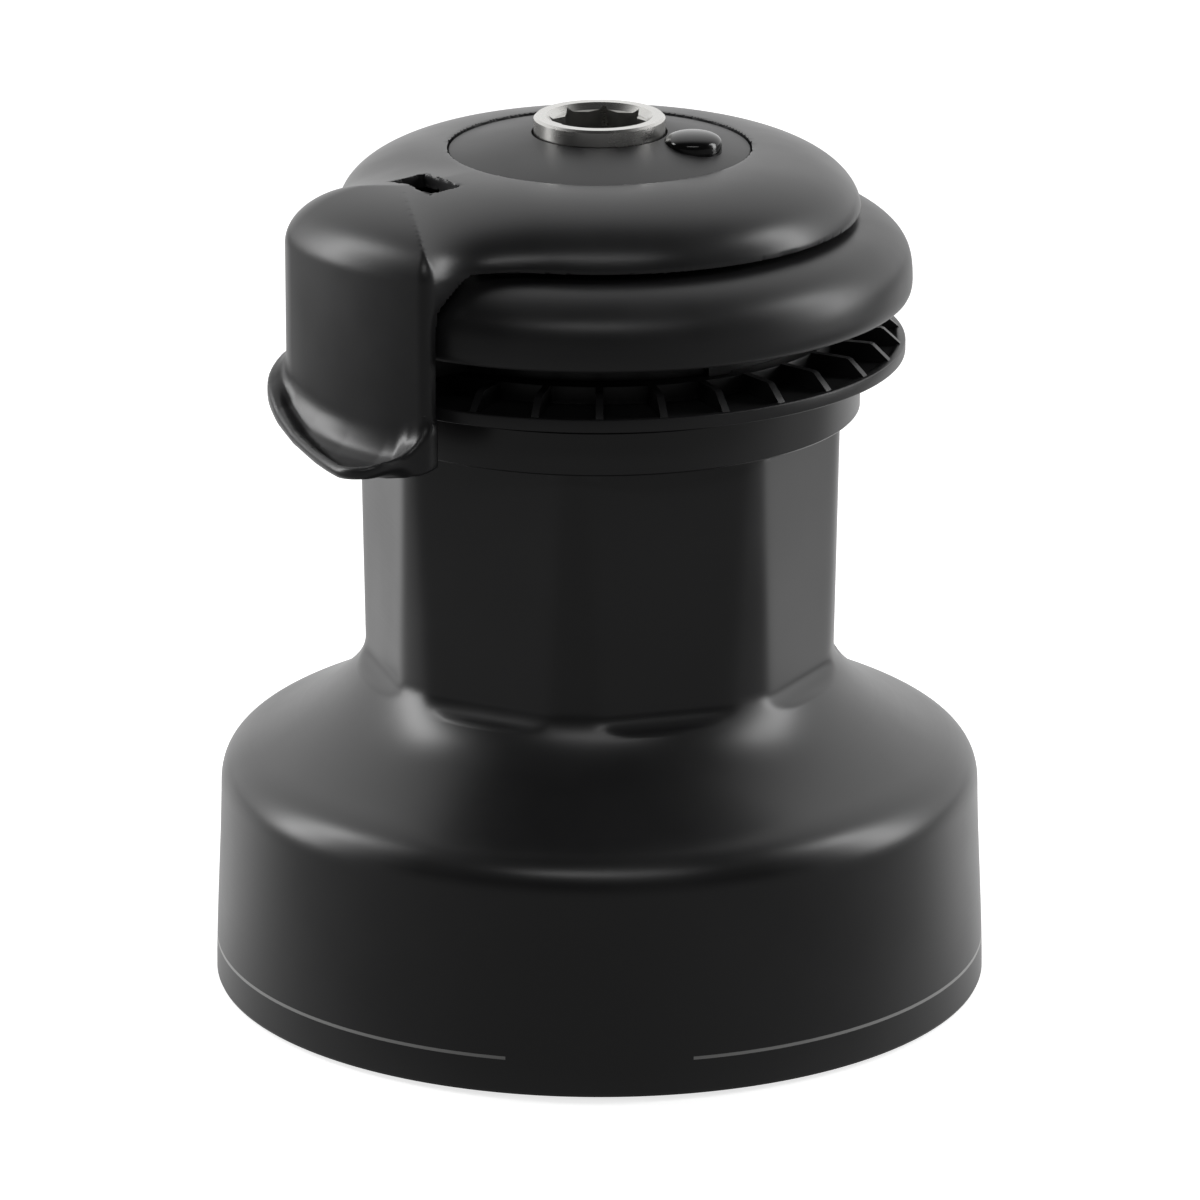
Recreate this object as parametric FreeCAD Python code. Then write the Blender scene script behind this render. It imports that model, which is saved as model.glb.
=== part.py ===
import FreeCAD, Part
import math
import os

# Two-speed self-tailing sailing winch.
# Millimetres. Z runs up the spindle, Z 0 is the deck, and -Y is the side that the camera saw.
# Angles are in degrees about Z, counted from +X towards +Y.

os.makedirs("parts", exist_ok=True)

V = FreeCAD.Vector
UP = V(0, 0, 1)

# Running and sliding clearances

running = 0.05
sliding = 0.1
loose = 0.3
open_gap = 1.2

# Drum, outside

skirt_radius = 95.0
skirt_top_radius = 93.3
skirt_bottom = 1.2
skirt_wall_top = 50.0
shoulder_rise = 8.0
shoulder_pull = 6.0
slope_radius = 82.6
slope_height = 62.7
slope_angle = 23.5
neck_pull = 12.5
neck_drop = 9.0
grip_bottom = 86.0
grip_radius = 57.6
grip_top_radius = 58.8
collar_radius = 63.4
collar_bottom = 146.0
drum_top = 157.0
facet_count = 8
facet_first = 16.5
facet_depth = 2.4
facet_bottom = 80.0
facet_corner = 5.0

# Drum, inside

skirt_wall = 4.4
gear_seat_radius = 73.0
gear_seat_wall = 8.0
drum_web_bottom = 56.1
drum_lip = 4.0
hub_seat_depth = 3.0

# Base plate

plate_radius = 86.5
plate_thickness = 6.0
deck_bolt_circle = 146.0
deck_bolt_count = 6
deck_bolt_first = 30.0
deck_bolt_radius = 4.25
deck_sink_radius = 8.4

# Centre stem

stem_radius = 40.0
stem_wall = 6.0
stem_top = 176.0
stem_head = 16.0
bridge_radius = 61.0
bridge_bottom = 46.0
bridge_thickness = 8.0
column_radius = 6.5
column_circle = 50.0
column_angles = (75.0, 115.0, 245.0, 285.0)
stem_screw_radius = 3.0
stem_screw_depth = 22.0
stem_screw_head = 6.0

# Spindle and its bushes

shaft_radius = 7.0
shaft_flat = 6.2
spindle_radius = 10.0
spindle_head_radius = 15.9
spindle_top = 217.9
spindle_head_length = 62.0
spindle_spigot = 16.0
spindle_taper = 8.0
bush_wall = 3.0
head_bush_wall = 2.2
head_bush_length = 14.0
spindle_foot = 1.0
star_square = 17.46
socket_depth = 40.0
star_turn = 39.5
socket_chamfer = 1.0

# Gear train

module = 2.5
pressure_angle = 25.0
addendum = 0.9
dedendum = 1.2
backlash = 0.16
spindle_pinion_teeth = 11
power_gear_teeth = 28
power_pinion_teeth = 11
first_gear_teeth = 18
inner_idler_teeth = 12
outer_idler_teeth = 13
ring_teeth = 50
power_angle = 0.0
outer_idler_angle = 200.0
level_one = 8.2
level_one_height = 13.8
level_two = 24.0
level_two_height = 18.0
gear_shaft_radius = 5.0
washer_width = 4.0
ring_screw_count = 6
ring_screw_radius = 2.0
ring_screw_head = 3.4
ring_screw_head_height = 4.0
ring_screw_reach = 12.0

# Ratchets and pawls, the same in both speeds

ratchet_hub_radius = 13.0
ratchet_teeth = 12
ratchet_depth = 2.5
ratchet_land = 3.0
ratchet_valley = 16.0
pawl_pivot_circle = 10.0
pawl_end_radius = 2.1
pawl_length = 9.0
pawl_width = 2.6
pawl_engaged = 75.5
pawl_folded = 100.0
pawl_face_gap = 1.0
pawl_height = 8.0
pawl_count = 2
pocket_floor = 2.4
spring_leaf = 0.4

# Roller bearings between the stem and the drum

roller_radius = 4.0
roller_length = 16.0
roller_count = 12
cage_end = 2.0
cage_inset = 0.6
lower_bearing = 60.0
upper_bearing = 128.0

# Drum retainer

retainer_thickness = 1.5
retainer_depth = 1.5
retainer_washer = 1.0
retainer_opening = 40.0

# Self-tailing jaws

jaw_hub_radius = 55.0
jaw_key_count = 6
jaw_key_width = 6.0
jaw_key_height = 2.0
jaw_key_top = 170.0
jaw_screw_circle = 51.8
jaw_screw_count = 6
jaw_screw_radius = 2.0
jaw_screw_head = 3.3
jaw_screw_head_height = 2.6
jaw_screw_reach = 12.0
rib_count = 30
rib_thickness = 1.8
rib_first = 6.0
lower_jaw_radius = 74.3
lower_jaw_rim_bottom = 159.8
lower_jaw_rim_top = 163.0
lower_jaw_floor = 160.4
lower_jaw_floor_thickness = 2.0
lower_jaw_recess = 66.0
lower_jaw_lip = 2.2
lower_rib_top = 167.0
lower_jaw_travel = 3.0
upper_jaw_radius = 75.9
upper_jaw_edge_bottom = 176.5
upper_jaw_edge_top = 184.5
upper_jaw_crown = 193.4
upper_jaw_crown_radius = 62.0
upper_jaw_skin = 3.0
upper_jaw_bore = 57.0
upper_jaw_hub_thickness = 5.0
upper_rib_bottom = 173.4
jaw_spring_count = 6
jaw_spring_circle = 59.2
jaw_spring_radius = 2.3
jaw_spring_wire = 0.7
jaw_spring_depth = 9.0

# Arm cover

cover_radius = 63.3
cover_bottom = 194.5
cover_crown_width = 27.0
cover_crown_foot = 194.7
cover_top = 210.2
cover_skin = 3.0
cover_hub_radius = 38.5
cover_hub_bore = 34.5
arm_angle = 218.25
arm_half_angle = 22.75
arm_radius = 82.4
arm_inner_radius = 78.4
arm_end_round = 3.0
arm_left_round = 17.0
arm_root_fillet = 22.0
leg_left_angle = 204.5
leg_bottom = 156.0
leg_corner = 12.0
stripper_room_bottom = 164.0
lip_angle = 221.5
lip_left = (-29.0, 79.3, 160.8)
lip_left_middle = (-8.0, 90.3, 153.9)
lip_right_middle = (13.0, 96.2, 152.4)
lip_right = (25.0, 90.5, 154.0)
lip_thickness = 3.6
lip_rim_round = 0.8
lip_rim_share = 0.18
lip_dish_share = 0.14
lip_wall = 1.8
lip_fillet = 5.0
window_length = 15.2
window_width = 9.8
window_circle = 52.6
window_angle = 218.0

# Line stripper

stripper_bottom = 167.7
stripper_top = 171.9
stripper_tip = 58.0
stripper_angle = 221.6
stripper_half_angle = 10.0
stripper_skin = 2.6
stripper_leg_bottom = 166.0
stripper_leg_thickness = 1.8
strap_bottom = 196.2
nose_length = 6.4
nose_width = 4.0
nose_top = 206.5

# Arm hub, top plate and release button

arm_hub_flange_radius = 43.0
arm_hub_flange = 17.5
arm_hub_bore = 17.5
hub_screw_count = 4
hub_screw_circle = 25.0
hub_screw_first = 45.0
hub_screw_radius = 2.5
hub_screw_head = 4.2
hub_screw_head_height = 4.0
hub_screw_reach = 10.0
top_plate_radius = 36.5
top_plate_edge = 209.6
top_plate_centre = 213.9
top_plate_bottom = 208.0
top_plate_bore = 16.4
button_circle = 23.8
button_angle = -19.6
button_radius = 7.0
button_height = 3.6
button_edge = 0.8
button_stem_radius = 2.6
button_travel = 2.5
latch_bottom = 199.0
latch_thickness = 3.0
latch_width = 5.8
latch_tail = 3.6
latch_end = 34.8
latch_groove = 35.2
arm_turn_range = 60.0
button_spring_radius = 4.2
button_spring_wire = 0.8
button_spring_bottom = 188.0


# Shape helpers

def tube(outer, inner, bottom, top, x=0.0, y=0.0):
    solid = Part.makeCylinder(outer, top - bottom, V(x, y, bottom))
    if inner > 0:
        solid = solid.cut(Part.makeCylinder(inner, top - bottom, V(x, y, bottom)))
    return solid


def rod(radius, bottom, top, x=0.0, y=0.0):
    return Part.makeCylinder(radius, top - bottom, V(x, y, bottom))


def cone(lower, upper, bottom, top, x=0.0, y=0.0):
    return Part.makeCone(lower, upper, top - bottom, V(x, y, bottom))


def block(low, high):
    size = high - low
    return Part.makeBox(size.x, size.y, size.z, low)


def polar(radius, angle, z=0.0):
    turn = math.radians(angle)
    return V(radius * math.cos(turn), radius * math.sin(turn), z)


def turned(shape, angle, centre=V(0, 0, 0)):
    copy = shape.copy()
    copy.rotate(centre, UP, angle)
    return copy


def around(shape, count, first=0.0):
    return [turned(shape, first + 360.0 / count * i) for i in range(count)]


def outline(steps):
    """Closed wire. A step is a point, a pair of points for an arc, or a list of pulls and the end of a curve."""
    edges = []
    here = steps[0]
    for step in steps[1:] + [steps[0]]:
        if isinstance(step, list):
            curve = Part.BezierCurve()
            curve.setPoles([here] + step)
            edges.append(curve.toShape())
            here = step[-1]
        elif isinstance(step, tuple):
            edges.append(Part.Arc(here, step[0], step[1]).toShape())
            here = step[1]
        elif here.distanceToPoint(step) > 1e-6:
            edges.append(Part.LineSegment(here, step).toShape())
            here = step
    return Part.Wire(edges)


def rz(radius, z):
    return V(radius, 0, z)


def lathe(steps, angle=360.0):
    return Part.Face(outline(steps)).revolve(V(0, 0, 0), UP, angle)


def prism(steps, bottom, top):
    face = Part.Face(outline(steps))
    face.translate(V(0, 0, bottom))
    return face.extrude(V(0, 0, top - bottom))


def wedge(inner, outer, first, last, bottom, top):
    """Sector of a ring between two angles."""
    middle = (first + last) / 2
    steps = [
        polar(inner, first),
        polar(outer, first),
        (polar(outer, middle), polar(outer, last)),
        polar(inner, last),
        (polar(inner, middle), polar(inner, first)),
    ]
    return prism(steps, bottom, top)


def screw(radius, head_radius, bottom, head_bottom, head_height, x, y, direction=1):
    """Cap screw. Direction 1 has its head on top, -1 has it underneath."""
    shank = rod(radius, min(bottom, head_bottom), max(bottom, head_bottom), x, y)
    start = head_bottom if direction > 0 else head_bottom - head_height
    head = rod(head_radius, start, start + head_height, x, y)
    key = Part.Wire([
        Part.LineSegment(polar(head_radius * 0.5, 60 * i), polar(head_radius * 0.5, 60 * i + 60)).toShape()
        for i in range(6)
    ])
    depth = head_height * 0.5
    recess = Part.Face(key).extrude(V(0, 0, depth))
    recess.translate(V(x, y, start + head_height - depth if direction > 0 else start))
    return shank.fuse(head).cut(recess).removeSplitter()


def save(name, shape):
    shape.exportStep("parts/" + name + ".step")


def join(first, *others):
    return first.fuse(list(others)).removeSplitter()


def group(shapes):
    return Part.makeCompound(shapes)


# Gears

def pitch_radius(teeth):
    return module * teeth / 2.0


def tooth_half_angle(radius, teeth, thinner):
    """Half of a tooth's angle at a radius, in radians, from the involute of its base circle."""
    pitch = pitch_radius(teeth)
    base = pitch * math.cos(math.radians(pressure_angle))
    involute = math.tan(math.radians(pressure_angle)) - math.radians(pressure_angle)
    here = math.acos(min(1.0, base / radius))
    return math.pi / 2 / teeth - thinner / 2 / pitch + involute - (math.tan(here) - here)


def toothed_prism(teeth, root, tip, thinner, bottom, top, phase):
    """Gear blank with a tooth centred at the phase angle."""
    base = pitch_radius(teeth) * math.cos(math.radians(pressure_angle))
    start = max(root, base)
    radii = (start, (start + tip) / 2, tip)
    halves = [math.degrees(tooth_half_angle(r, teeth, thinner)) for r in radii]
    edges = []
    pitch_angle = 360.0 / teeth
    for i in range(teeth):
        centre = phase + pitch_angle * i
        right = [polar(r, centre - h) for r, h in zip(radii, halves)]
        left = [polar(r, centre + h) for r, h in zip(radii, halves)]
        if root < base - 0.01:
            edges.append(Part.LineSegment(polar(root, centre - halves[0]), right[0]).toShape())
        edges.append(Part.Arc(right[0], right[1], right[2]).toShape())
        edges.append(Part.Arc(right[2], polar(tip, centre), left[2]).toShape())
        edges.append(Part.Arc(left[2], left[1], left[0]).toShape())
        if root < base - 0.01:
            edges.append(Part.LineSegment(left[0], polar(root, centre + halves[0])).toShape())
        foot = polar(min(root, start), centre + halves[0])
        after = polar(min(root, start), centre + pitch_angle - halves[0])
        edges.append(Part.Arc(foot, polar(min(root, start), centre + pitch_angle / 2), after).toShape())
    face = Part.Face(Part.Wire(edges))
    face.translate(V(0, 0, bottom))
    return face.extrude(V(0, 0, top - bottom))


def spur(teeth, bottom, top, phase):
    pitch = pitch_radius(teeth)
    root = pitch - dedendum * module
    tip = pitch + addendum * module
    return toothed_prism(teeth, root, tip, backlash / 2, bottom, top, phase)


def mesh_outside(phase, teeth, other_teeth, direction):
    """Phase of the gear that meshes outside a gear, at the given direction from it."""
    part = (direction - phase) * teeth / 360.0
    return direction + 180.0 - (0.5 - part) * 360.0 / other_teeth


def mesh_inside(ring_phase, teeth, direction):
    """Phase of a pinion inside the ring gear, in the given direction. The ring has a gap at its phase."""
    part = (direction - ring_phase) * ring_teeth / 360.0
    return direction - part * 360.0 / teeth


power_distance = pitch_radius(ring_teeth) - pitch_radius(power_pinion_teeth)
outer_idler_distance = pitch_radius(ring_teeth) - pitch_radius(outer_idler_teeth)
inner_idler_distance = pitch_radius(first_gear_teeth) + pitch_radius(inner_idler_teeth)
idler_distance = pitch_radius(inner_idler_teeth) + pitch_radius(outer_idler_teeth)
idler_cosine = (inner_idler_distance ** 2 + outer_idler_distance ** 2 - idler_distance ** 2) / (
    2 * inner_idler_distance * outer_idler_distance)
inner_idler_angle = outer_idler_angle - math.degrees(math.acos(idler_cosine))
power_centre = polar(power_distance, power_angle)
outer_idler_centre = polar(outer_idler_distance, outer_idler_angle)
inner_idler_centre = polar(inner_idler_distance, inner_idler_angle)
idler_line = outer_idler_centre - inner_idler_centre
idler_direction = math.degrees(math.atan2(idler_line.y, idler_line.x))

ring_phase = 0.0
outer_idler_phase = mesh_inside(ring_phase, outer_idler_teeth, outer_idler_angle)
inner_idler_phase = mesh_outside(outer_idler_phase, outer_idler_teeth, inner_idler_teeth, idler_direction + 180)
first_gear_phase = mesh_outside(
    inner_idler_phase, inner_idler_teeth, first_gear_teeth, inner_idler_angle + 180)
power_pinion_phase = mesh_inside(ring_phase, power_pinion_teeth, power_angle)
spindle_pinion_phase = 0.0
power_gear_phase = mesh_outside(spindle_pinion_phase, spindle_pinion_teeth, power_gear_teeth, power_angle)

level_one_top = level_one + level_one_height
level_two_top = level_two + level_two_height
hub_start = level_one_top + 0.3
bridge_top = bridge_bottom + bridge_thickness


# Ratchets. Drawn for a pawl whose pivot lies on +X. Side -1 points it clockwise, 1 the other way.

def pawl_direction(engaged, side):
    return polar(1.0, side * (pawl_engaged if engaged else pawl_folded))


def pawl(bottom, top, engaged, side):
    pivot = V(pawl_pivot_circle, 0, bottom)
    along = pawl_direction(engaged, side)
    across = V(-along.y, along.x, 0) * (pawl_width / 2)
    arm_face = Part.Face(Part.makePolygon([
        pivot + across,
        pivot + across + along * pawl_length,
        pivot - across + along * pawl_length,
        pivot - across,
        pivot + across,
    ]))
    arm = arm_face.extrude(V(0, 0, top - bottom))
    swing = pawl_folded - pawl_engaged
    tip_limit = rod(ratchet_hub_radius + ratchet_depth - loose, bottom, top)
    fold_limit = rod(ratchet_hub_radius - running, bottom, top)
    if engaged:
        fold_limit = turned(fold_limit, side * -swing, pivot)
    else:
        tip_limit = turned(tip_limit, side * swing, pivot)
    arm = arm.common(tip_limit).common(fold_limit)
    return rod(pawl_end_radius, bottom, top, pivot.x, pivot.y).fuse(arm).removeSplitter()


def pawl_pocket(bottom, top, side):
    """The room in a hub for one pawl, its swing and its spring leaf."""
    pivot = V(pawl_pivot_circle, 0, bottom)
    along = pawl_direction(False, side) * (pawl_length + loose)
    inward = V(-1, 0, 0) * pocket_floor
    outward = V(1, 0, 0) * (ratchet_hub_radius - pawl_pivot_circle + 2)
    room = Part.Face(Part.makePolygon([
        pivot + inward,
        pivot + inward + along,
        pivot + outward + along,
        pivot + outward,
        pivot + inward,
    ])).extrude(V(0, 0, top - bottom))
    return room.fuse(rod(pawl_end_radius + running, bottom, top, pivot.x, pivot.y))


def pawl_leaf(bottom, top, side):
    """Thin spring leaf along the pocket floor, its root in the floor's end."""
    along = pawl_direction(False, side)
    start = V(pawl_pivot_circle - pocket_floor + spring_leaf * 0.2, 0, bottom) + along * 2.6
    end = start + along * (pawl_length - 3.4)
    width = V(spring_leaf, 0, 0)
    face = Part.Face(Part.makePolygon([start, end, end + width, start + width, start]))
    return face.extrude(V(0, 0, top - bottom))


def ratchet_bore(bottom, top, side, turn):
    """The toothed bore that a pawl drives. The tooth face stands just past the arc of the pawl's heel."""
    tip = ratchet_hub_radius + running
    root = ratchet_hub_radius + ratchet_depth
    pitch_angle = 360.0 / ratchet_teeth
    heel = math.hypot(pawl_length, pawl_width / 2)
    cosine = (tip ** 2 - pawl_pivot_circle ** 2 - heel ** 2) / (2 * pawl_pivot_circle * heel)
    crossing = V(pawl_pivot_circle + heel * cosine, heel * math.sqrt(1 - cosine ** 2), 0)
    face_angle = side * (math.degrees(math.atan2(crossing.y, crossing.x)) + pawl_face_gap)
    edges = []
    for i in range(ratchet_teeth):
        start = face_angle + turn - side * pitch_angle * i
        valley = start - side * ratchet_valley
        ramp_end = start - side * (pitch_angle - ratchet_land)
        last = start - side * pitch_angle
        edges.append(Part.LineSegment(polar(tip, start), polar(root, start)).toShape())
        edges.append(Part.Arc(polar(root, start), polar(root, (start + valley) / 2), polar(root, valley)).toShape())
        edges.append(Part.LineSegment(polar(root, valley), polar(tip, ramp_end)).toShape())
        edges.append(Part.Arc(polar(tip, ramp_end), polar(tip, (ramp_end + last) / 2), polar(tip, last)).toShape())
    face = Part.Face(Part.Wire(edges))
    face.translate(V(0, 0, bottom))
    return face.extrude(V(0, 0, top - bottom))


# Base plate

def base_plate():
    plate = rod(plate_radius, 0, plate_thickness)
    rim = plate.Edges
    top_rim = [e for e in rim if abs(e.BoundBox.ZMin - plate_thickness) < 1e-6 and e.Length > plate_radius]
    plate = plate.makeChamfer(1.0, top_rim)
    holes = []
    for i in range(deck_bolt_count):
        p = polar(deck_bolt_circle / 2, deck_bolt_first + 360.0 / deck_bolt_count * i)
        holes.append(rod(deck_bolt_radius, 0, plate_thickness, p.x, p.y))
        sink = deck_sink_radius - deck_bolt_radius
        holes.append(cone(deck_bolt_radius, deck_sink_radius, plate_thickness - sink, plate_thickness, p.x, p.y))
    for angle in column_angles:
        p = polar(column_circle, angle)
        holes.append(rod(stem_screw_radius + sliding, 0, plate_thickness, p.x, p.y))
        holes.append(rod(stem_screw_head + sliding, 0, plate_thickness / 2, p.x, p.y))
    for p in (power_centre, inner_idler_centre, outer_idler_centre):
        holes.append(rod(gear_shaft_radius, 1.0, plate_thickness, p.x, p.y))
    holes.append(rod(shaft_radius + bush_wall, spindle_foot, plate_thickness))
    return plate.cut(holes).removeSplitter()


# Centre stem: columns, bridge, tube and head, cast in one

def centre_stem():
    inner = stem_radius - stem_wall
    head_bottom = stem_top - stem_head
    bush_outer = spindle_radius + bush_wall
    head_bore = spindle_head_radius + running + head_bush_wall
    body = lathe([
        rz(bush_outer, bridge_bottom),
        rz(bridge_radius, bridge_bottom),
        rz(bridge_radius, bridge_top),
        rz(stem_radius, bridge_top),
        rz(stem_radius, stem_top),
        rz(head_bore, stem_top),
        rz(head_bore, head_bottom),
        rz(inner - 6, head_bottom),
        rz(inner, head_bottom - 6),
        rz(inner, bridge_top + 4),
        rz(inner - 4, bridge_top),
        rz(bush_outer, bridge_top),
    ])
    pieces = []
    cuts = []
    for angle in column_angles:
        p = polar(column_circle, angle)
        pieces.append(rod(column_radius, plate_thickness, bridge_bottom, p.x, p.y))
        cuts.append(rod(stem_screw_radius, plate_thickness, stem_screw_depth + running, p.x, p.y))
    for p in (power_centre, inner_idler_centre, outer_idler_centre):
        cuts.append(rod(gear_shaft_radius, bridge_bottom, bridge_top - 0.5, p.x, p.y))
    groove_bottom = drum_lip_top + retainer_washer + 2 * running
    cuts.append(tube(stem_radius + 1, stem_radius - retainer_depth, groove_bottom - running,
                     groove_bottom + retainer_thickness + running))
    for p in hub_screw_places():
        cuts.append(rod(hub_screw_radius + running, stem_top - hub_screw_reach, stem_top, p.x, p.y))
    return join(body, *pieces).cut(cuts).removeSplitter()


def hub_screw_places():
    return [polar(hub_screw_circle, hub_screw_first + 360.0 / hub_screw_count * i) for i in range(hub_screw_count)]


def stem_screws():
    return group([
        screw(stem_screw_radius - running, stem_screw_head, stem_screw_depth, plate_thickness / 2,
              plate_thickness / 2 - 0.2, p.x, p.y, -1)
        for p in [polar(column_circle, angle) for angle in column_angles]
    ])


# Shafts, spacers and washers of the gear train

def gear_shaft(centre):
    return rod(gear_shaft_radius - running, 1.0, bridge_top - 0.5, centre.x, centre.y)


def washer_at(centre, bottom, top):
    return tube(gear_shaft_radius + washer_width, gear_shaft_radius + running, bottom, top, centre.x, centre.y)


def idler_spacers():
    return group([
        washer_at(c, plate_thickness, level_two - sliding) for c in (inner_idler_centre, outer_idler_centre)
    ])


def gear_washers():
    upper = [
        washer_at(c, level_two_top + sliding, bridge_bottom - running)
        for c in (power_centre, inner_idler_centre, outer_idler_centre)
    ]
    return group(upper + [washer_at(power_centre, plate_thickness, level_one - sliding)])


# Spindle with the star socket, and the gear on its lower end: the power pinion and the first-speed pawl hub

def spindle_head():
    bottom = spindle_top - spindle_head_length
    body = lathe([
        rz(shaft_radius + running, bottom),
        rz(spindle_head_radius, bottom),
        rz(spindle_head_radius, spindle_top - 0.6),
        rz(spindle_head_radius - 0.6, spindle_top),
        rz(0, spindle_top),
        rz(0, bottom + spindle_spigot + sliding),
        rz(shaft_radius + running, bottom + spindle_spigot + sliding),
    ])
    half = star_square / 2
    square = block(V(-half, -half, spindle_top - socket_depth), V(half, half, spindle_top))
    star = turned(square.fuse(turned(square, 45)), star_turn)
    corner = half * math.sqrt(2)
    mouth = cone(corner - socket_chamfer, corner + socket_chamfer / 2, spindle_top - 1.5 * socket_chamfer, spindle_top)
    return body.cut([star, mouth]).removeSplitter()


def main_spindle():
    head_bottom = spindle_top - spindle_head_length
    body = lathe([
        rz(0, spindle_foot + running),
        rz(shaft_radius, spindle_foot + running),
        rz(shaft_radius, level_two_top),
        rz(spindle_radius, level_two_top),
        rz(spindle_radius, head_bottom - spindle_taper),
        rz(spindle_head_radius, head_bottom),
        rz(shaft_radius, head_bottom),
        rz(shaft_radius, head_bottom + spindle_spigot),
        rz(0, head_bottom + spindle_spigot),
    ])
    return body.cut(shaft_flats(0.0)).removeSplitter()


def shaft_flats(clearance):
    """What is cut off both sides of the lower shaft, so that it turns the gear on it."""
    near = shaft_flat + clearance
    far = shaft_radius + 1
    side = block(V(near, -far, level_one), V(far, far, level_two_top))
    return [side, turned(side, 180)]


def spindle_gear():
    pinion = spur(spindle_pinion_teeth, level_one, level_one_top, spindle_pinion_phase)
    neck = rod(spindle_radius, level_one, level_two_top - running)
    hub = rod(ratchet_hub_radius, hub_start, level_two_top - running)
    bore = rod(shaft_radius + running, level_one, level_two_top).cut(shaft_flats(running))
    pockets = [
        turned(pawl_pocket(level_two, level_two_top, -1), 360.0 / pawl_count * i) for i in range(pawl_count)
    ]
    return join(hub, neck, pinion).cut([bore] + pockets).removeSplitter()


def leaves(bottom, side, centre, turn):
    shapes = []
    for i in range(pawl_count):
        leaf = turned(pawl_leaf(bottom, bottom + pawl_height, side), turn + 360.0 / pawl_count * i)
        leaf.translate(centre)
        shapes.append(leaf)
    return group(shapes)


first_pawl_bottom = level_two + (level_two_height - pawl_height) / 2
power_pawl_bottom = level_one + (level_one_height - pawl_height) / 2
power_pawl_turn = 40.0


def first_speed_gear():
    blank = spur(first_gear_teeth, hub_start, level_two_top - sliding, first_gear_phase)
    return blank.cut(ratchet_bore(hub_start, level_two_top - sliding, -1, 0.0)).removeSplitter()


def idler_gear(teeth, centre, phase):
    blank = spur(teeth, level_two, level_two_top, phase)
    blank = blank.cut(rod(gear_shaft_radius + running, level_two, level_two_top))
    blank.translate(centre)
    return blank


def power_gear():
    blank = spur(power_gear_teeth, level_one, level_one_top, power_gear_phase)
    blank = blank.cut(ratchet_bore(level_one, level_one_top, 1, power_pawl_turn))
    rim = pitch_radius(power_gear_teeth) - dedendum * module - 4
    hub = ratchet_hub_radius + ratchet_depth + 4
    recess = tube(rim, hub, level_one_top - 3, level_one_top)
    blank = blank.cut(recess).removeSplitter()
    blank.translate(power_centre)
    return blank


def power_pinion():
    teeth = spur(power_pinion_teeth, hub_start, level_two_top, power_pinion_phase)
    hub = rod(ratchet_hub_radius, level_one, hub_start)
    body = join(hub, teeth)
    cuts = [rod(gear_shaft_radius + running, level_one, level_two_top)]
    for i in range(pawl_count):
        cuts.append(turned(pawl_pocket(level_one, level_one_top, 1), power_pawl_turn + 360.0 / pawl_count * i))
    body = body.cut(cuts).removeSplitter()
    body.translate(power_centre)
    return body


def power_pawls():
    shapes = []
    for i in range(pawl_count):
        piece = turned(pawl(power_pawl_bottom, power_pawl_bottom + pawl_height, False, 1),
                       power_pawl_turn + 360.0 / pawl_count * i)
        piece.translate(power_centre)
        shapes.append(piece)
    return group(shapes)


# Ring gear under the drum

def ring_screw_places():
    circle = (gear_seat_radius + pitch_radius(ring_teeth) + dedendum * module) / 2
    return [polar(circle, 360.0 / ring_screw_count * i) for i in range(ring_screw_count)]


def ring_gear():
    pitch = pitch_radius(ring_teeth)
    blank = rod(gear_seat_radius, level_two, level_two_top)
    gaps = toothed_prism(ring_teeth, pitch - addendum * module, pitch + dedendum * module, -backlash / 2,
                         level_two, level_two_top, ring_phase)
    cuts = [gaps]
    for p in ring_screw_places():
        cuts.append(rod(ring_screw_radius + sliding, level_two, level_two_top, p.x, p.y))
        cuts.append(rod(ring_screw_head + sliding, level_two, level_two + ring_screw_head_height + loose, p.x, p.y))
    return blank.cut(cuts).removeSplitter()


def ring_gear_screws():
    bottom = level_two + ring_screw_head_height + loose
    return group([
        screw(ring_screw_radius, ring_screw_head, level_two_top + ring_screw_reach, bottom,
              ring_screw_head_height, p.x, p.y, -1)
        for p in ring_screw_places()
    ])


# Drum

bearing_outer = stem_radius + 2 * running + 2 * roller_radius
drum_bore = bearing_outer + running
upper_bearing_top = upper_bearing + roller_length + 2 * cage_end
drum_lip_bottom = drum_top - hub_seat_depth - drum_lip
drum_lip_top = drum_top - hub_seat_depth
drum_lip_bore = stem_radius + open_gap


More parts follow.
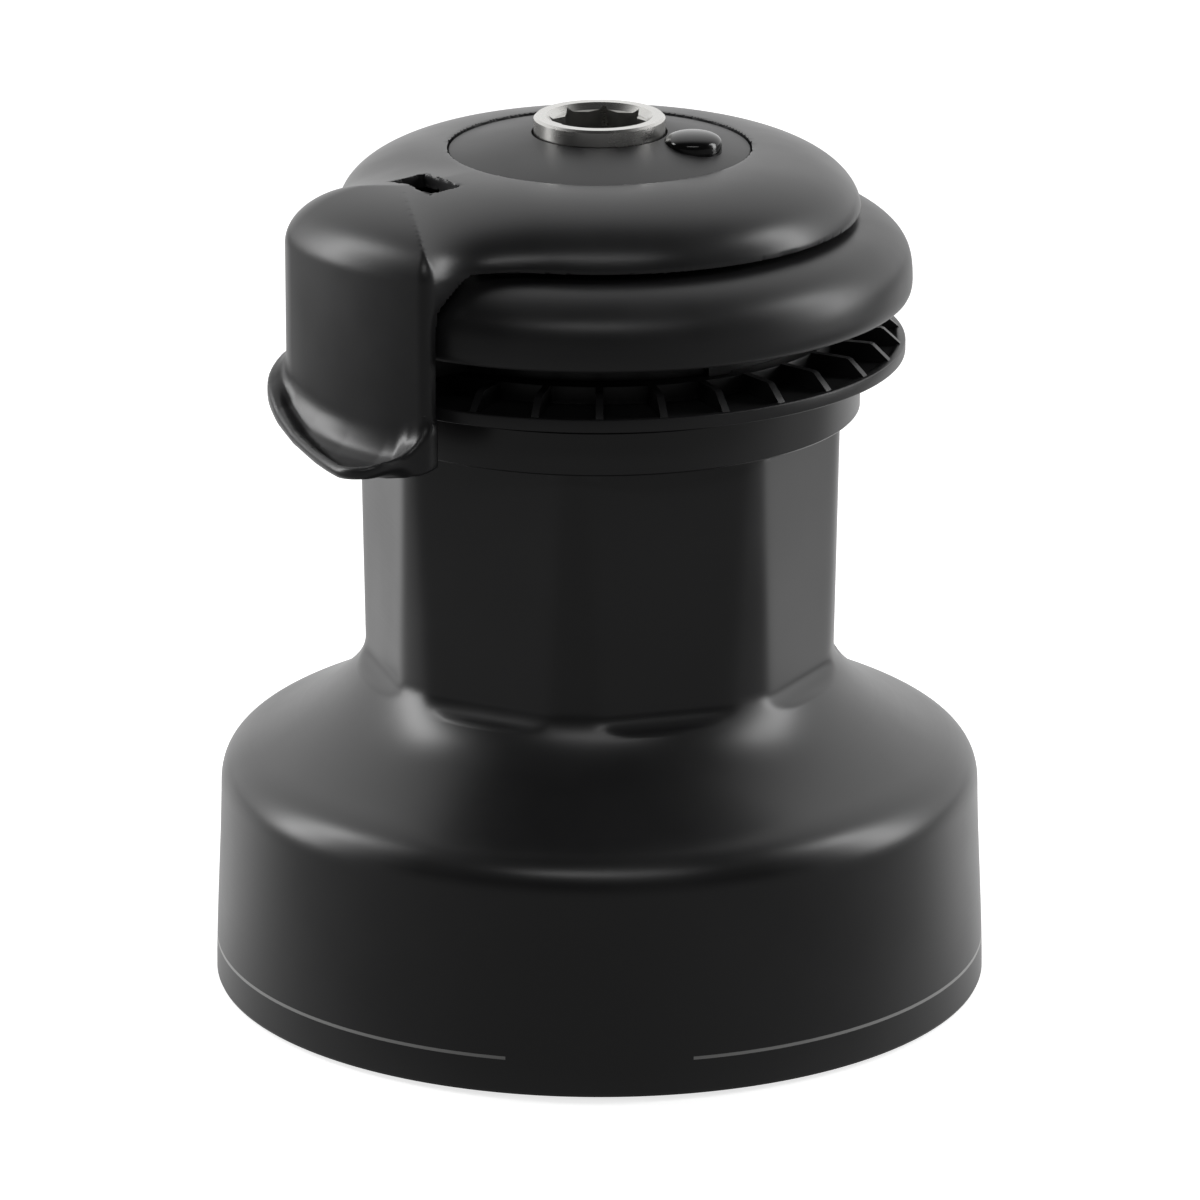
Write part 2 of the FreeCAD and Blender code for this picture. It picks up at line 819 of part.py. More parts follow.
def drum():
    turn = math.radians(slope_angle)
    down = rz(math.cos(turn), -math.sin(turn))
    slope = rz(slope_radius, slope_height)
    neck_top = rz(grip_radius, grip_bottom)
    inside = skirt_top_radius - skirt_wall
    inner_slope = slope - rz(skirt_wall * math.sin(turn), skirt_wall * math.cos(turn))
    seat_top = rz(gear_seat_radius, inner_slope.z + (inner_slope.x - gear_seat_radius) * math.tan(turn))
    body = lathe([
        rz(inside, skirt_bottom),
        rz(skirt_radius, skirt_bottom),
        rz(skirt_top_radius, skirt_wall_top),
        [rz(skirt_top_radius, skirt_wall_top + shoulder_rise), slope + down * shoulder_pull, slope],
        [slope - down * neck_pull, neck_top - rz(0, neck_drop), neck_top],
        rz(grip_top_radius, collar_bottom),
        rz(collar_radius, collar_bottom),
        rz(collar_radius, drum_top - 0.8),
        rz(collar_radius - 0.8, drum_top),
        rz(jaw_hub_radius + sliding, drum_top),
        rz(jaw_hub_radius + sliding, drum_lip_top),
        rz(drum_lip_bore, drum_lip_top),
        rz(drum_lip_bore, drum_lip_bottom),
        rz(drum_bore, drum_lip_bottom),
        rz(drum_bore, drum_web_bottom),
        rz(gear_seat_radius - gear_seat_wall, drum_web_bottom),
        rz(gear_seat_radius - gear_seat_wall, level_two_top),
        rz(gear_seat_radius, level_two_top),
        seat_top,
        inner_slope,
        [inner_slope + down * shoulder_pull * 0.7, rz(inside, skirt_wall_top + shoulder_rise * 0.5),
         rz(inside, skirt_wall_top)],
    ])
    cuts = []
    flat = grip_radius - facet_depth
    reach = skirt_radius
    facet = Part.Face(outline([
        rz(flat, collar_bottom),
        rz(flat, facet_bottom + facet_corner),
        (rz(flat + facet_corner * (1 - math.sqrt(0.5)), facet_bottom + facet_corner * (1 - math.sqrt(0.5))),
         rz(flat + facet_corner, facet_bottom)),
        rz(reach, facet_bottom),
        rz(reach, collar_bottom),
    ])).extrude(V(0, 2 * grip_radius, 0))
    facet.translate(V(0, -grip_radius, 0))
    cuts += around(facet, facet_count, facet_first)
    for p in ring_screw_places():
        cuts.append(rod(ring_screw_radius + running, level_two_top, level_two_top + ring_screw_reach, p.x, p.y))
    for p in jaw_screw_places():
        cuts.append(rod(jaw_screw_radius + running, drum_lip_top - jaw_screw_reach, drum_lip_top, p.x, p.y))
    for p in jaw_spring_places():
        cuts.append(rod(jaw_spring_radius + loose, drum_top - jaw_spring_depth, drum_top, p.x, p.y))
    return body.cut(cuts).removeSplitter()


# Roller bearings

def cage(bottom):
    top = bottom + roller_length + 2 * cage_end
    ring = tube(bearing_outer - cage_inset, stem_radius + cage_inset, bottom, top)
    circle = stem_radius + running + roller_radius
    pocket = rod(roller_radius + sliding, bottom + cage_end - sliding, top - cage_end + sliding, circle)
    return ring.cut(around(pocket, roller_count)).removeSplitter()


def rollers(bottom):
    circle = stem_radius + running + roller_radius
    roller = rod(roller_radius, bottom + cage_end, bottom + cage_end + roller_length, circle)
    return group(around(roller, roller_count))


# Drum retainer on the stem

def retaining_ring():
    bottom = drum_lip_top + retainer_washer + 2 * running
    ring = tube(drum_lip_bore + 1.0, stem_radius - retainer_depth + running, bottom, bottom + retainer_thickness)
    gap = wedge(stem_radius - 5, stem_radius + 5, -retainer_opening / 2, retainer_opening / 2,
                bottom - 1, bottom + retainer_thickness + 1)
    return ring.cut(gap)


def retaining_washer():
    bottom = drum_lip_top + running
    return tube(drum_lip_bore + 2.2, stem_radius + sliding, bottom, bottom + retainer_washer)


def thrust_washer():
    return tube(bridge_radius - 1, drum_bore + 0.9, bridge_top, drum_web_bottom - running)


# Jaw hub, jaws and springs

def jaw_screw_places():
    return [polar(jaw_screw_circle, 360.0 / jaw_screw_count * i) for i in range(jaw_screw_count)]


def jaw_spring_places():
    first = 180.0 / jaw_spring_count
    return [polar(jaw_spring_circle, first + 360.0 / jaw_spring_count * i) for i in range(jaw_spring_count)]


jaw_hub_bore = drum_lip_bore + 3.4


def jaw_hub():
    sleeve = tube(jaw_hub_radius, jaw_hub_bore, drum_lip_top, stem_top)
    key = block(V(jaw_hub_radius - 1, -jaw_key_width / 2, drum_top + running),
                V(jaw_hub_radius + jaw_key_height, jaw_key_width / 2, jaw_key_top))
    holes = [rod(jaw_screw_radius + sliding, drum_lip_top, stem_top, p.x, p.y) for p in jaw_screw_places()]
    return join(sleeve, *around(key, jaw_key_count)).cut(holes).removeSplitter()


def jaw_screws():
    head = stem_top + upper_jaw_hub_thickness - jaw_screw_head_height - loose
    return group([
        screw(jaw_screw_radius, jaw_screw_head, drum_lip_top - jaw_screw_reach, head, jaw_screw_head_height, p.x, p.y)
        for p in jaw_screw_places()
    ])


def jaw_springs():
    coils = []
    for p in jaw_spring_places():
        bottom = drum_top - jaw_spring_depth
        coils.append(tube(jaw_spring_radius, jaw_spring_radius - jaw_spring_wire, bottom, lower_jaw_floor - running,
                          p.x, p.y))
    return group(coils)


def lower_jaw():
    floor_top = lower_jaw_floor + lower_jaw_floor_thickness
    bore = jaw_hub_radius + sliding
    collar = bore + jaw_key_height + 2.0
    body = lathe([
        rz(bore, lower_jaw_floor),
        rz(lower_jaw_recess, lower_jaw_floor),
        rz(lower_jaw_recess + 1.5, lower_jaw_rim_bottom),
        rz(lower_jaw_radius - 1.0, lower_jaw_rim_bottom),
        rz(lower_jaw_radius, lower_jaw_rim_bottom + 1.0),
        rz(lower_jaw_radius, lower_jaw_rim_top - 0.5),
        rz(lower_jaw_radius - 0.5, lower_jaw_rim_top),
        rz(lower_jaw_radius - lower_jaw_lip, lower_jaw_rim_top),
        rz(lower_jaw_radius - lower_jaw_lip, floor_top),
        rz(collar, floor_top),
        rz(collar, lower_rib_top),
        rz(bore, lower_rib_top),
    ])
    slope = lower_rib_top - lower_jaw_rim_top
    rib_face = Part.Face(outline([
        rz(collar - 0.5, floor_top - 0.5),
        rz(collar - 0.5, lower_rib_top),
        rz(lower_jaw_radius - lower_jaw_lip - slope, lower_rib_top),
        rz(lower_jaw_radius - 0.8, lower_jaw_rim_top - 0.2),
        rz(lower_jaw_radius - 0.8, floor_top - 0.5),
    ]))
    rib = rib_face.extrude(V(0, rib_thickness, 0))
    rib.translate(V(0, -rib_thickness / 2, 0))
    body = join(body, *around(rib, rib_count, rib_first))
    slot = block(V(bore - 1, -jaw_key_width / 2 - sliding, lower_jaw_floor),
                 V(bore + jaw_key_height, jaw_key_width / 2 + sliding, lower_rib_top))
    return body.cut(around(slot, jaw_key_count)).removeSplitter()


def upper_jaw():
    hub_top = stem_top + upper_jaw_hub_thickness
    outer_middle = rz(upper_jaw_radius - 3.4, upper_jaw_edge_top + 4.6)
    crown = rz(upper_jaw_crown_radius, upper_jaw_crown)
    skin = upper_jaw_skin
    body = lathe([
        rz(jaw_hub_bore + sliding, stem_top),
        rz(jaw_hub_radius + 2, stem_top),
        rz(upper_jaw_bore + skin, stem_top + 2),
        rz(upper_jaw_bore + skin, upper_jaw_crown - skin - 2),
        rz(upper_jaw_crown_radius, upper_jaw_crown - skin),
        (rz(outer_middle.x - skin * 0.8, outer_middle.z - skin * 0.6),
         rz(upper_jaw_radius - skin, upper_jaw_edge_top - 1)),
        rz(upper_jaw_radius - skin, upper_jaw_edge_bottom),
        rz(upper_jaw_radius - 0.8, upper_jaw_edge_bottom),
        rz(upper_jaw_radius, upper_jaw_edge_bottom + 0.8),
        rz(upper_jaw_radius, upper_jaw_edge_top),
        (outer_middle, crown),
        rz(upper_jaw_bore + 0.6, upper_jaw_crown),
        rz(upper_jaw_bore, upper_jaw_crown - 0.6),
        rz(upper_jaw_bore, hub_top + 2),
        rz(upper_jaw_bore - 2, hub_top),
        rz(jaw_hub_bore + sliding, hub_top),
    ])
    inner = jaw_hub_radius + 1.6
    rib_face = Part.Face(outline([
        rz(inner, stem_top + 0.5),
        rz(inner, upper_rib_bottom),
        rz(inner + 4, upper_rib_bottom),
        rz(upper_jaw_radius - skin / 2, upper_jaw_edge_bottom + 0.4),
        rz(upper_jaw_radius - skin / 2, upper_jaw_edge_top - 2),
        rz(upper_jaw_crown_radius, upper_jaw_crown - skin + 0.5),
        rz(upper_jaw_bore + skin - 0.5, upper_jaw_crown - skin),
        rz(upper_jaw_bore + skin - 0.5, stem_top + 0.5),
    ]))
    rib = rib_face.extrude(V(0, rib_thickness, 0))
    rib.translate(V(0, -rib_thickness / 2, 0))
    body = join(body, *around(rib, rib_count, rib_first))
    cuts = []
    for p in jaw_screw_places():
        cuts.append(rod(jaw_screw_radius + sliding, stem_top, hub_top, p.x, p.y))
        cuts.append(rod(jaw_screw_head + sliding, hub_top - jaw_screw_head_height - loose, hub_top, p.x, p.y))
    return body.cut(cuts).removeSplitter()


# Arm hub on the stem, and the screws that hold it

def latch_slot():
    """The way through the arm hub for the latch, as wide as the latch and as tall as its travel."""
    half = latch_width / 2 + sliding
    slot = block(V(button_circle - latch_tail - loose, -half, latch_bottom - button_travel - loose),
                 V(cover_hub_bore + 2, half, latch_bottom + latch_thickness + loose))
    return turned(slot, button_angle)


def arm_hub():
    body = lathe([
        rz(arm_hub_bore, stem_top),
        rz(arm_hub_flange_radius, stem_top),
        rz(arm_hub_flange_radius, stem_top + arm_hub_flange),
        rz(cover_hub_bore - sliding, stem_top + arm_hub_flange),
        rz(cover_hub_bore - sliding, top_plate_bottom),
        rz(arm_hub_bore, top_plate_bottom),
    ])
    cuts = [
        turned(rod(button_spring_radius + sliding, button_spring_bottom, top_plate_bottom, button_circle), button_angle),
        latch_slot(),
    ]
    for p in hub_screw_places():
        cuts.append(rod(hub_screw_radius + sliding, stem_top, top_plate_bottom, p.x, p.y))
        cuts.append(rod(hub_screw_head + sliding, stem_top + arm_hub_flange, top_plate_bottom, p.x, p.y))
    return body.cut(cuts).removeSplitter()


def arm_hub_screws():
    return group([
        screw(hub_screw_radius, hub_screw_head, stem_top - hub_screw_reach, stem_top + arm_hub_flange,
              hub_screw_head_height, p.x, p.y)
        for p in hub_screw_places()
    ])


def top_plate():
    body = lathe([
        rz(top_plate_bore, top_plate_centre - 3.0),
        rz(top_plate_bore + 5, top_plate_bottom),
        rz(top_plate_radius, top_plate_bottom),
        rz(top_plate_radius, top_plate_edge - 0.3),
        rz(top_plate_radius - 0.3, top_plate_edge),
        rz(top_plate_bore, top_plate_centre),
    ])
    hole = turned(rod(button_radius + loose, top_plate_bottom, top_plate_centre, button_circle), button_angle)
    return body.cut(hole).removeSplitter()


button_seat = (top_plate_edge + (top_plate_centre - top_plate_edge) * (top_plate_radius - button_circle)
               / (top_plate_radius - top_plate_bore))


def release_button():
    cap_bottom = top_plate_bottom + button_travel + sliding
    rise = button_height - button_edge
    dome_radius = (button_radius ** 2 + rise ** 2) / (2 * rise)
    dome_centre = V(0, 0, button_seat + button_height - dome_radius)
    cap = rod(button_radius, cap_bottom, button_seat + button_height).common(Part.makeSphere(dome_radius, dome_centre))
    stem = rod(button_stem_radius, latch_bottom + latch_thickness, cap_bottom + 1)
    body = join(cap, stem)
    body.translate(V(button_circle, 0, 0))
    return turned(body, button_angle)


def button_latch():
    half = latch_width / 2
    plate = block(V(button_circle - latch_tail, -half, latch_bottom),
                  V(latch_end, half, latch_bottom + latch_thickness))
    return turned(plate, button_angle)


def button_spring():
    spring = tube(button_spring_radius, button_spring_radius - button_spring_wire, button_spring_bottom,
                  latch_bottom, button_circle)
    return turned(spring, button_angle)


# Arm cover: the domed cover, the arm outside the jaws and the lip that takes up the line

def crown_height(inward, drop):
    """Height of the elliptical crown at a distance inside the outline. Its inner side lies lower by the drop."""
    share = min(1.0, max(0.0, (inward - drop) / (cover_crown_width - drop)))
    return cover_crown_foot + (cover_top - drop - cover_crown_foot) * math.sqrt(1 - (1 - share) ** 2)


def crown_section(place, bottom, depth, drop):
    """Section from the outline inward: up the side, over the crown in four arcs, then level to the depth."""
    steps = [place(depth, bottom), place(drop, bottom), place(drop, cover_crown_foot)]
    here = drop
    for share in (0.05, 0.2, 0.5, 1.0):
        there = min(depth, drop + share * (cover_crown_width - drop))
        if there > here:
            middle = (here + there) / 2
            steps.append((place(middle, crown_height(middle, drop)), place(there, crown_height(there, drop))))
            here = there
    if depth > here:
        steps.append(place(depth, cover_top - drop))
    return steps


def crown_disc(radius, bottom, drop):
    return lathe(crown_section(lambda inward, z: rz(radius - inward, z), bottom, radius, drop))


def crown_side(angle, side, bottom, drop):
    """The crown along a straight side that runs out from the spindle's axis at an angle."""
    steps = crown_section(lambda inward, z: V(0, side * inward, z), bottom, cover_radius, drop)
    return turned(Part.Face(outline(steps)).extrude(V(arm_radius + 10, 0, 0)), angle)


def crown_corner(angle, side, radius, bottom, drop):
    """The crown round an upright corner of the arm, and the room that it takes."""
    along = math.sqrt((arm_radius - radius) ** 2 - radius ** 2)
    lean = math.degrees(math.asin(radius / (arm_radius - radius)))
    start = -90.0 if side > 0 else -lean
    corner = lathe(crown_section(lambda inward, z: rz(radius - inward, z), bottom, radius, drop), 90 + lean)
    room = lathe([rz(0, bottom), rz(radius * 3, bottom), rz(radius * 3, cover_top), rz(0, cover_top)], 90 + lean)
    placed = []
    for shape in (corner, room):
        shape = turned(shape, start)
        shape.translate(V(along, side * radius, 0))
        placed.append(turned(shape, angle))
    return placed


def crown_root(angle, side, bottom):
    """The crown round the hollow corner where a side of the arm leaves the dome."""
    radius = arm_root_fillet
    along = math.sqrt((cover_radius + radius) ** 2 - radius ** 2)
    lean = math.degrees(math.asin(radius / (cover_radius + radius)))
    start = 90.0 if side > 0 else 180 + lean
    root = turned(lathe(crown_section(lambda inward, z: rz(radius + inward, z), bottom, 2 * radius, 0.0), 90 - lean),
                  start)
    root.translate(V(along, -side * radius, 0))
    return turned(root, angle)


arm_first = arm_angle - arm_half_angle
arm_last = arm_angle + arm_half_angle


def arm_form(bottom, drop):
    """The arm as a closed form: a sector with the crown over its end, its sides and its two corners."""
    form = crown_disc(arm_radius, bottom, drop)
    form = form.common(crown_side(arm_first, 1, bottom, drop)).common(crown_side(arm_last, -1, bottom, drop))
    for angle, side, radius in ((arm_first, 1, arm_left_round), (arm_last, -1, arm_end_round)):
        if radius > drop + loose:
            corner, room = crown_corner(angle, side, radius, bottom, drop)
            form = form.cut(room).fuse(corner)
    return form


def arm_roots(bottom):
    end = crown_disc(arm_radius, bottom, 0.0)
    left = crown_root(arm_first, 1, bottom).common(crown_side(arm_last, -1, bottom, 0.0)).common(end)
    right = crown_root(arm_last, -1, bottom).common(crown_side(arm_first, 1, bottom, 0.0)).common(end)
    return [left, right]


def sight_window():
    window = block(V(-window_width / 2, -window_length / 2, cover_bottom),
                   V(window_width / 2, window_length / 2, cover_top + 1))
    window.translate(V(window_circle, 0, 0))
    return turned(window, window_angle)


def arm_cover():
    """The dome and the arm's roof, one skin all over, with the bearing that turns on the arm hub."""
    body = join(crown_disc(cover_radius, cover_bottom, 0.0), arm_form(cover_bottom, 0.0))
    for root in arm_roots(cover_bottom):
        body = join(body, root)
    below = cover_bottom - cover_skin
    body = body.cut(join(crown_disc(cover_radius, below, cover_skin), arm_form(below, cover_skin)))
    hub_bottom = stem_top + arm_hub_flange + sliding
    body = body.fuse(tube(cover_hub_radius, cover_hub_bore, hub_bottom, cover_top - cover_skin / 2))
    low = latch_bottom - button_travel - 2 * loose
    groove = wedge(cover_hub_bore - 0.5, latch_groove, button_angle - arm_turn_range - 7, button_angle + 7,
                   low, latch_bottom + latch_thickness + 2 * loose)
    bore = rod(cover_hub_bore, hub_bottom, cover_top + 1)
    seat = rod(top_plate_radius + loose, top_plate_bottom - running, cover_top + 1)
    for cut in (bore, seat, groove, sight_window()):
        body = body.cut(cut)
    return body.removeSplitter()


# Arm leg: the wall outside the jaws, down to the lip that takes up the line

def jaw_room():
    """The room that the jaws turn in, inside the arm and under the cover."""
    return lathe([
        rz(0, leg_bottom - 20),
        rz(arm_inner_radius, leg_bottom - 20),
        rz(arm_inner_radius, upper_jaw_edge_top + 3),
        rz(upper_jaw_crown_radius + 7, cover_bottom + 0.6),
        rz(0, cover_bottom + 0.6),
    ])


def beside_leg(angle, side):
    """What is cut away beside the leg below the cover, with its upper corner rounded."""
    far = cover_radius * 2
    room = block(V(cover_radius / 2, 0, leg_bottom - 20), V(arm_radius + 20, far, cover_bottom))
    corner = [e for e in room.Edges if e.BoundBox.ZMin > cover_bottom - 1e-3 and e.BoundBox.YMax < 1e-3]
    room = room.makeFillet(leg_corner, corner)
    if side < 0:
        room = room.mirror(V(0, 0, 0), V(0, 1, 0))
    return turned(room, angle)


def leg_face(place):
    """How far out the leg's outer face is, at a place along the lip. Its left corner is the arm's."""
    lean = math.radians(arm_first - lip_angle) + math.asin(arm_left_round / (arm_radius - arm_left_round))
    middle = (arm_radius - arm_left_round) * V(math.cos(lean), math.sin(lean), 0)
    if place > middle.y + arm_left_round * math.sin(lean):
        return math.sqrt(arm_radius ** 2 - place ** 2)
    across = min(arm_left_round - 0.5, middle.y - place)
    return middle.x + math.sqrt(arm_left_round ** 2 - across ** 2)


def lip_section(place, reach, rim):
    """Section of the lip: its underside, its rounded rim, its dish and the round up the leg's face."""
    face = max(leg_face(place), math.sqrt((arm_inner_radius + lip_wall) ** 2 - place ** 2))
    flare = reach - face
    back = math.sqrt(arm_inner_radius ** 2 - place ** 2) - lip_wall
    low = rim - lip_thickness
    edge = reach - lip_rim_round
    inner = edge - flare * lip_rim_share
    dish = face + flare * 0.3
    dish_bottom = rim - flare * lip_dish_share

    def at(out, up):
        return V(out, place, up)

    return Part.Wire([
        Part.LineSegment(at(back, low), at(edge, low)).toShape(),
        Part.Arc(at(edge, low), at(reach, (low + rim) / 2), at(edge, rim)).toShape(),
        Part.LineSegment(at(edge, rim), at(inner, rim)).toShape(),
        Part.Arc(at(inner, rim), at((inner + dish) / 2, dish_bottom), at(dish, rim)).toShape(),
        Part.Arc(at(dish, rim), at(face + flare * 0.08, rim + lip_fillet * 0.4),
                 at(face - 0.2, rim + lip_fillet)).toShape(),
        Part.LineSegment(at(face - 0.2, rim + lip_fillet), at(back, rim + lip_fillet)).toShape(),
        Part.LineSegment(at(back, rim + lip_fillet), at(back, low)).toShape(),
    ])


def tail_lip():
    """The flared lip across the leg's foot."""
    stations = (lip_left, lip_left_middle, lip_right_middle, lip_right)
    return turned(Part.makeLoft([lip_section(*station) for station in stations], True, False), lip_angle)


def arm_leg():
    leg = arm_form(leg_bottom, 0.0).fuse(arm_roots(leg_bottom))
    leg = leg.common(rod(arm_radius + 1, leg_bottom, cover_bottom))
    rooms = [jaw_room(), beside_leg(leg_left_angle, -1), beside_leg(arm_last, 1)]
    for room in rooms + [arm_form(stripper_room_bottom, cover_skin)]:
        leg = leg.cut(room)
    return join(leg, tail_lip().cut(jaw_room()))


# Line stripper: the strap under the cover, the leg inside the arm and the tongue between the jaws

def line_stripper():
    first = stripper_angle - stripper_half_angle
    last = stripper_angle + stripper_half_angle
    outer = arm_radius - cover_skin - sliding
    leg_inner = outer - stripper_leg_thickness
    bend = cover_bottom - 4
    strap_top = strap_bottom + stripper_skin
    strap = wedge(cover_hub_radius + 6, outer - 7, first, last, strap_bottom, strap_top)
    leg = wedge(leg_inner, outer, first, last, stripper_leg_bottom, bend)
    corner = lathe([
        rz(leg_inner, bend - 0.5),
        rz(outer, bend - 0.5),
        (rz(outer - 2.2, strap_top - 2.4), rz(outer - 8, strap_top)),
        rz(outer - 8, strap_bottom),
        (rz(leg_inner - 2.2, strap_bottom - 1.6), rz(leg_inner, bend - 0.5)),
    ]).common(wedge(cover_hub_radius, arm_radius, first, last, leg_bottom, cover_top))
    tongue = prism([
        polar(outer, first + 1),
        (polar(outer, stripper_angle), polar(outer, last - 1)),
        polar(stripper_tip, last + 6),
        (polar(stripper_tip, stripper_angle + 12), polar(stripper_tip, stripper_angle + 4)),
    ], stripper_bottom, stripper_top)
    nose = block(V(-nose_width / 2, -nose_length / 2, strap_top - 0.5), V(nose_width / 2, nose_length / 2, nose_top))
    nose.translate(V(window_circle, 0, 0))
    return join(strap, leg, corner, tongue, turned(nose, window_angle))


# Write one STEP file for each node

save("base_plate", base_plate())
save("centre_stem", centre_stem())
save("stem_screws", stem_screws())
save("lower_bush", tube(shaft_radius + bush_wall, shaft_radius + running, spindle_foot, plate_thickness))
save("middle_bush", tube(spindle_radius + bush_wall, spindle_radius + running, bridge_bottom, bridge_top))
save("head_bush", tube(spindle_head_radius + running + head_bush_wall, spindle_head_radius + running,
                       stem_top - head_bush_length, stem_top))
save("power_shaft", gear_shaft(power_centre))
save("idler_shafts", group([gear_shaft(inner_idler_centre), gear_shaft(outer_idler_centre)]))
save("idler_spacers", idler_spacers())
save("gear_washers", gear_washers())
save("main_spindle", main_spindle())
save("spindle_head", spindle_head())
save("spindle_gear", spindle_gear())
save("first_speed_gear", first_speed_gear())
first_pawl = pawl(first_pawl_bottom, first_pawl_bottom + pawl_height, True, -1)
save("first_pawl_a", first_pawl)
save("first_pawl_b", turned(first_pawl, 180))
save("first_pawl_springs", leaves(first_pawl_bottom, -1, V(0, 0, 0), 0.0))
save("inner_idler_gear", idler_gear(inner_idler_teeth, inner_idler_centre, inner_idler_phase))
save("outer_idler_gear", idler_gear(outer_idler_teeth, outer_idler_centre, outer_idler_phase))
save("power_gear", power_gear())
save("power_pinion", power_pinion())
save("power_pawls", power_pawls())
save("power_pawl_springs", leaves(power_pawl_bottom, 1, power_centre, power_pawl_turn))
save("ring_gear", ring_gear())
save("ring_gear_screws", ring_gear_screws())
save("drum", drum())
save("lower_cage", cage(lower_bearing))
save("lower_rollers", rollers(lower_bearing))
save("upper_cage", cage(upper_bearing))
save("upper_rollers", rollers(upper_bearing))
save("thrust_washer", thrust_washer())
save("retaining_washer", retaining_washer())
save("retaining_ring", retaining_ring())
save("jaw_hub", jaw_hub())
save("jaw_screws", jaw_screws())
save("jaw_springs", jaw_springs())
save("lower_jaw", lower_jaw())
save("upper_jaw", upper_jaw())
save("arm_hub", arm_hub())
save("arm_hub_screws", arm_hub_screws())
save("top_plate", top_plate())
save("release_button", release_button())
save("button_latch", button_latch())
save("button_spring", button_spring())
save("arm_cover", arm_cover())
save("arm_leg", arm_leg())
save("line_stripper", line_stripper())
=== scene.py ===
import math
from itertools import product

import bmesh
import bpy
import numpy as np
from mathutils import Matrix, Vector


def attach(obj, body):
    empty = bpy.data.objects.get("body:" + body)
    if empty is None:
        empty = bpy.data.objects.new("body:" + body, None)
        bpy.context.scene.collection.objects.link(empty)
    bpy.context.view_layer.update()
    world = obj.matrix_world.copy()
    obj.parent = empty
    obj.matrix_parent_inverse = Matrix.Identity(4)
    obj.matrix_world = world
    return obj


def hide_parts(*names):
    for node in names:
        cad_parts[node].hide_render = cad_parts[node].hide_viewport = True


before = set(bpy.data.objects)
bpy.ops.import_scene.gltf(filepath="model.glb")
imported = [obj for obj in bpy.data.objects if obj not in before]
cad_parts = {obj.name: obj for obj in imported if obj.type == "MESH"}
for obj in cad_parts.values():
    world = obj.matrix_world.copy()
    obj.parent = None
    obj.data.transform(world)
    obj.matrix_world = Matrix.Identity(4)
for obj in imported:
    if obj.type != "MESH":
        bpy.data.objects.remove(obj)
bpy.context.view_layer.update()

# Two-speed self-tailing winch. Sizes are in millimetres and become metres where a mesh is made.
# Heights are above the deck, and the side with the arm to its left faces -Y.

MM = 0.001
SEGMENTS = 288


# Sizes that the dressed pieces share with the model

SKIRT_FOOT = 1.2
SKIRT_RADIUS = 95.0
SKIRT_TOP = 50.0
SKIRT_TOP_RADIUS = 93.3
SLOPE_RADIUS = 82.6
SLOPE_HEIGHT = 62.7
GRIP_RADIUS = 57.6
GRIP_SPREAD = 1.2
GRIP_BOTTOM = 86.0
FACETS = 8
FACET_FIRST = 16.5
FACET_DISTANCE = 55.2
FACET_BOTTOM = 80.0
FACET_CORNER = 5.0
COLLAR_BOTTOM = 146.0
COLLAR_TOP = 157.0
COLLAR_RADIUS = 63.4
RIBS = 30
RIB_FIRST = 6.0
RIB_HALF = 0.9

COVER_RADIUS = 63.3
COVER_EDGE = 194.5
COVER_TOP = 210.2
CROWN_WIDTH = 27.0
CROWN_FOOT = 194.7
COVER_BORE = 36.8
COVER_SKIN = 3.0
HUB_BORE = 34.5
HUB_RADIUS = 38.5
HUB_BOTTOM = 193.6
ARM_FIRST = 195.5
ARM_LAST = 241.0
ARM_MIDDLE = (ARM_FIRST + ARM_LAST) / 2
ARM_RADIUS = 82.4
ARM_INNER = 78.4
ARM_BOTTOM = 150.5
ARM_LEFT_ROUND = 17.0
ARM_RIGHT_ROUND = 3.0
ARM_HOLLOW_ROUND = 22.0
ARCH_ROUND = 12.0
JAW_ROOM_TOP = 195.1
JAW_ROOM_SLOPE = 187.5
LIP_ANGLE = 221.5
LIP_REACH = 172.0
LIP_THICKNESS = 3.0
LIP_DISH = 2.4
LIP_FILLET = 9.0
WINDOW_CIRCLE = 52.6
WINDOW_ANGLE = 218.0
WINDOW_LENGTH = 15.2
WINDOW_WIDTH = 9.8

PLATE_BORE = 16.4
PLATE_RADIUS = 36.5
PLATE_BOTTOM = 208.0
PLATE_EDGE = 209.6
PLATE_CENTRE = 213.9
BUTTON_CIRCLE = 23.8
BUTTON_ANGLE = -19.6
BUTTON_RADIUS = 7.0
BUTTON_STEM = 2.6


# How finely the sharp edges are eased

FACET_SHARPNESS = 3.0
COVER_EASE = 1.6
SKIN_STEP = 0.7


# Meshes

def catmull(points, steps):
    """A smooth line through the points."""
    points = [np.array(p, float) for p in points]
    ends = [2 * points[0] - points[1]] + points + [2 * points[-1] - points[-2]]
    line = []
    for a, b, c, d in zip(ends, ends[1:], ends[2:], ends[3:]):
        for t in np.linspace(0, 1, steps, endpoint=False):
            line.append(0.5 * (2 * b + (c - a) * t + (2 * a - 5 * b + 4 * c - d) * t ** 2
                               + (3 * b - a - 3 * c + d) * t ** 3))
    return line + [points[-1]]


def bezier(a, b, c, d, steps):
    """The points of a curve from a to d, without the last."""
    a, b, c, d = (np.array(p, float) for p in (a, b, c, d))
    t = np.linspace(0, 1, steps, endpoint=False)[:, None]
    return list((1 - t) ** 3 * a + 3 * (1 - t) ** 2 * t * b + 3 * (1 - t) * t ** 2 * c + t ** 3 * d)


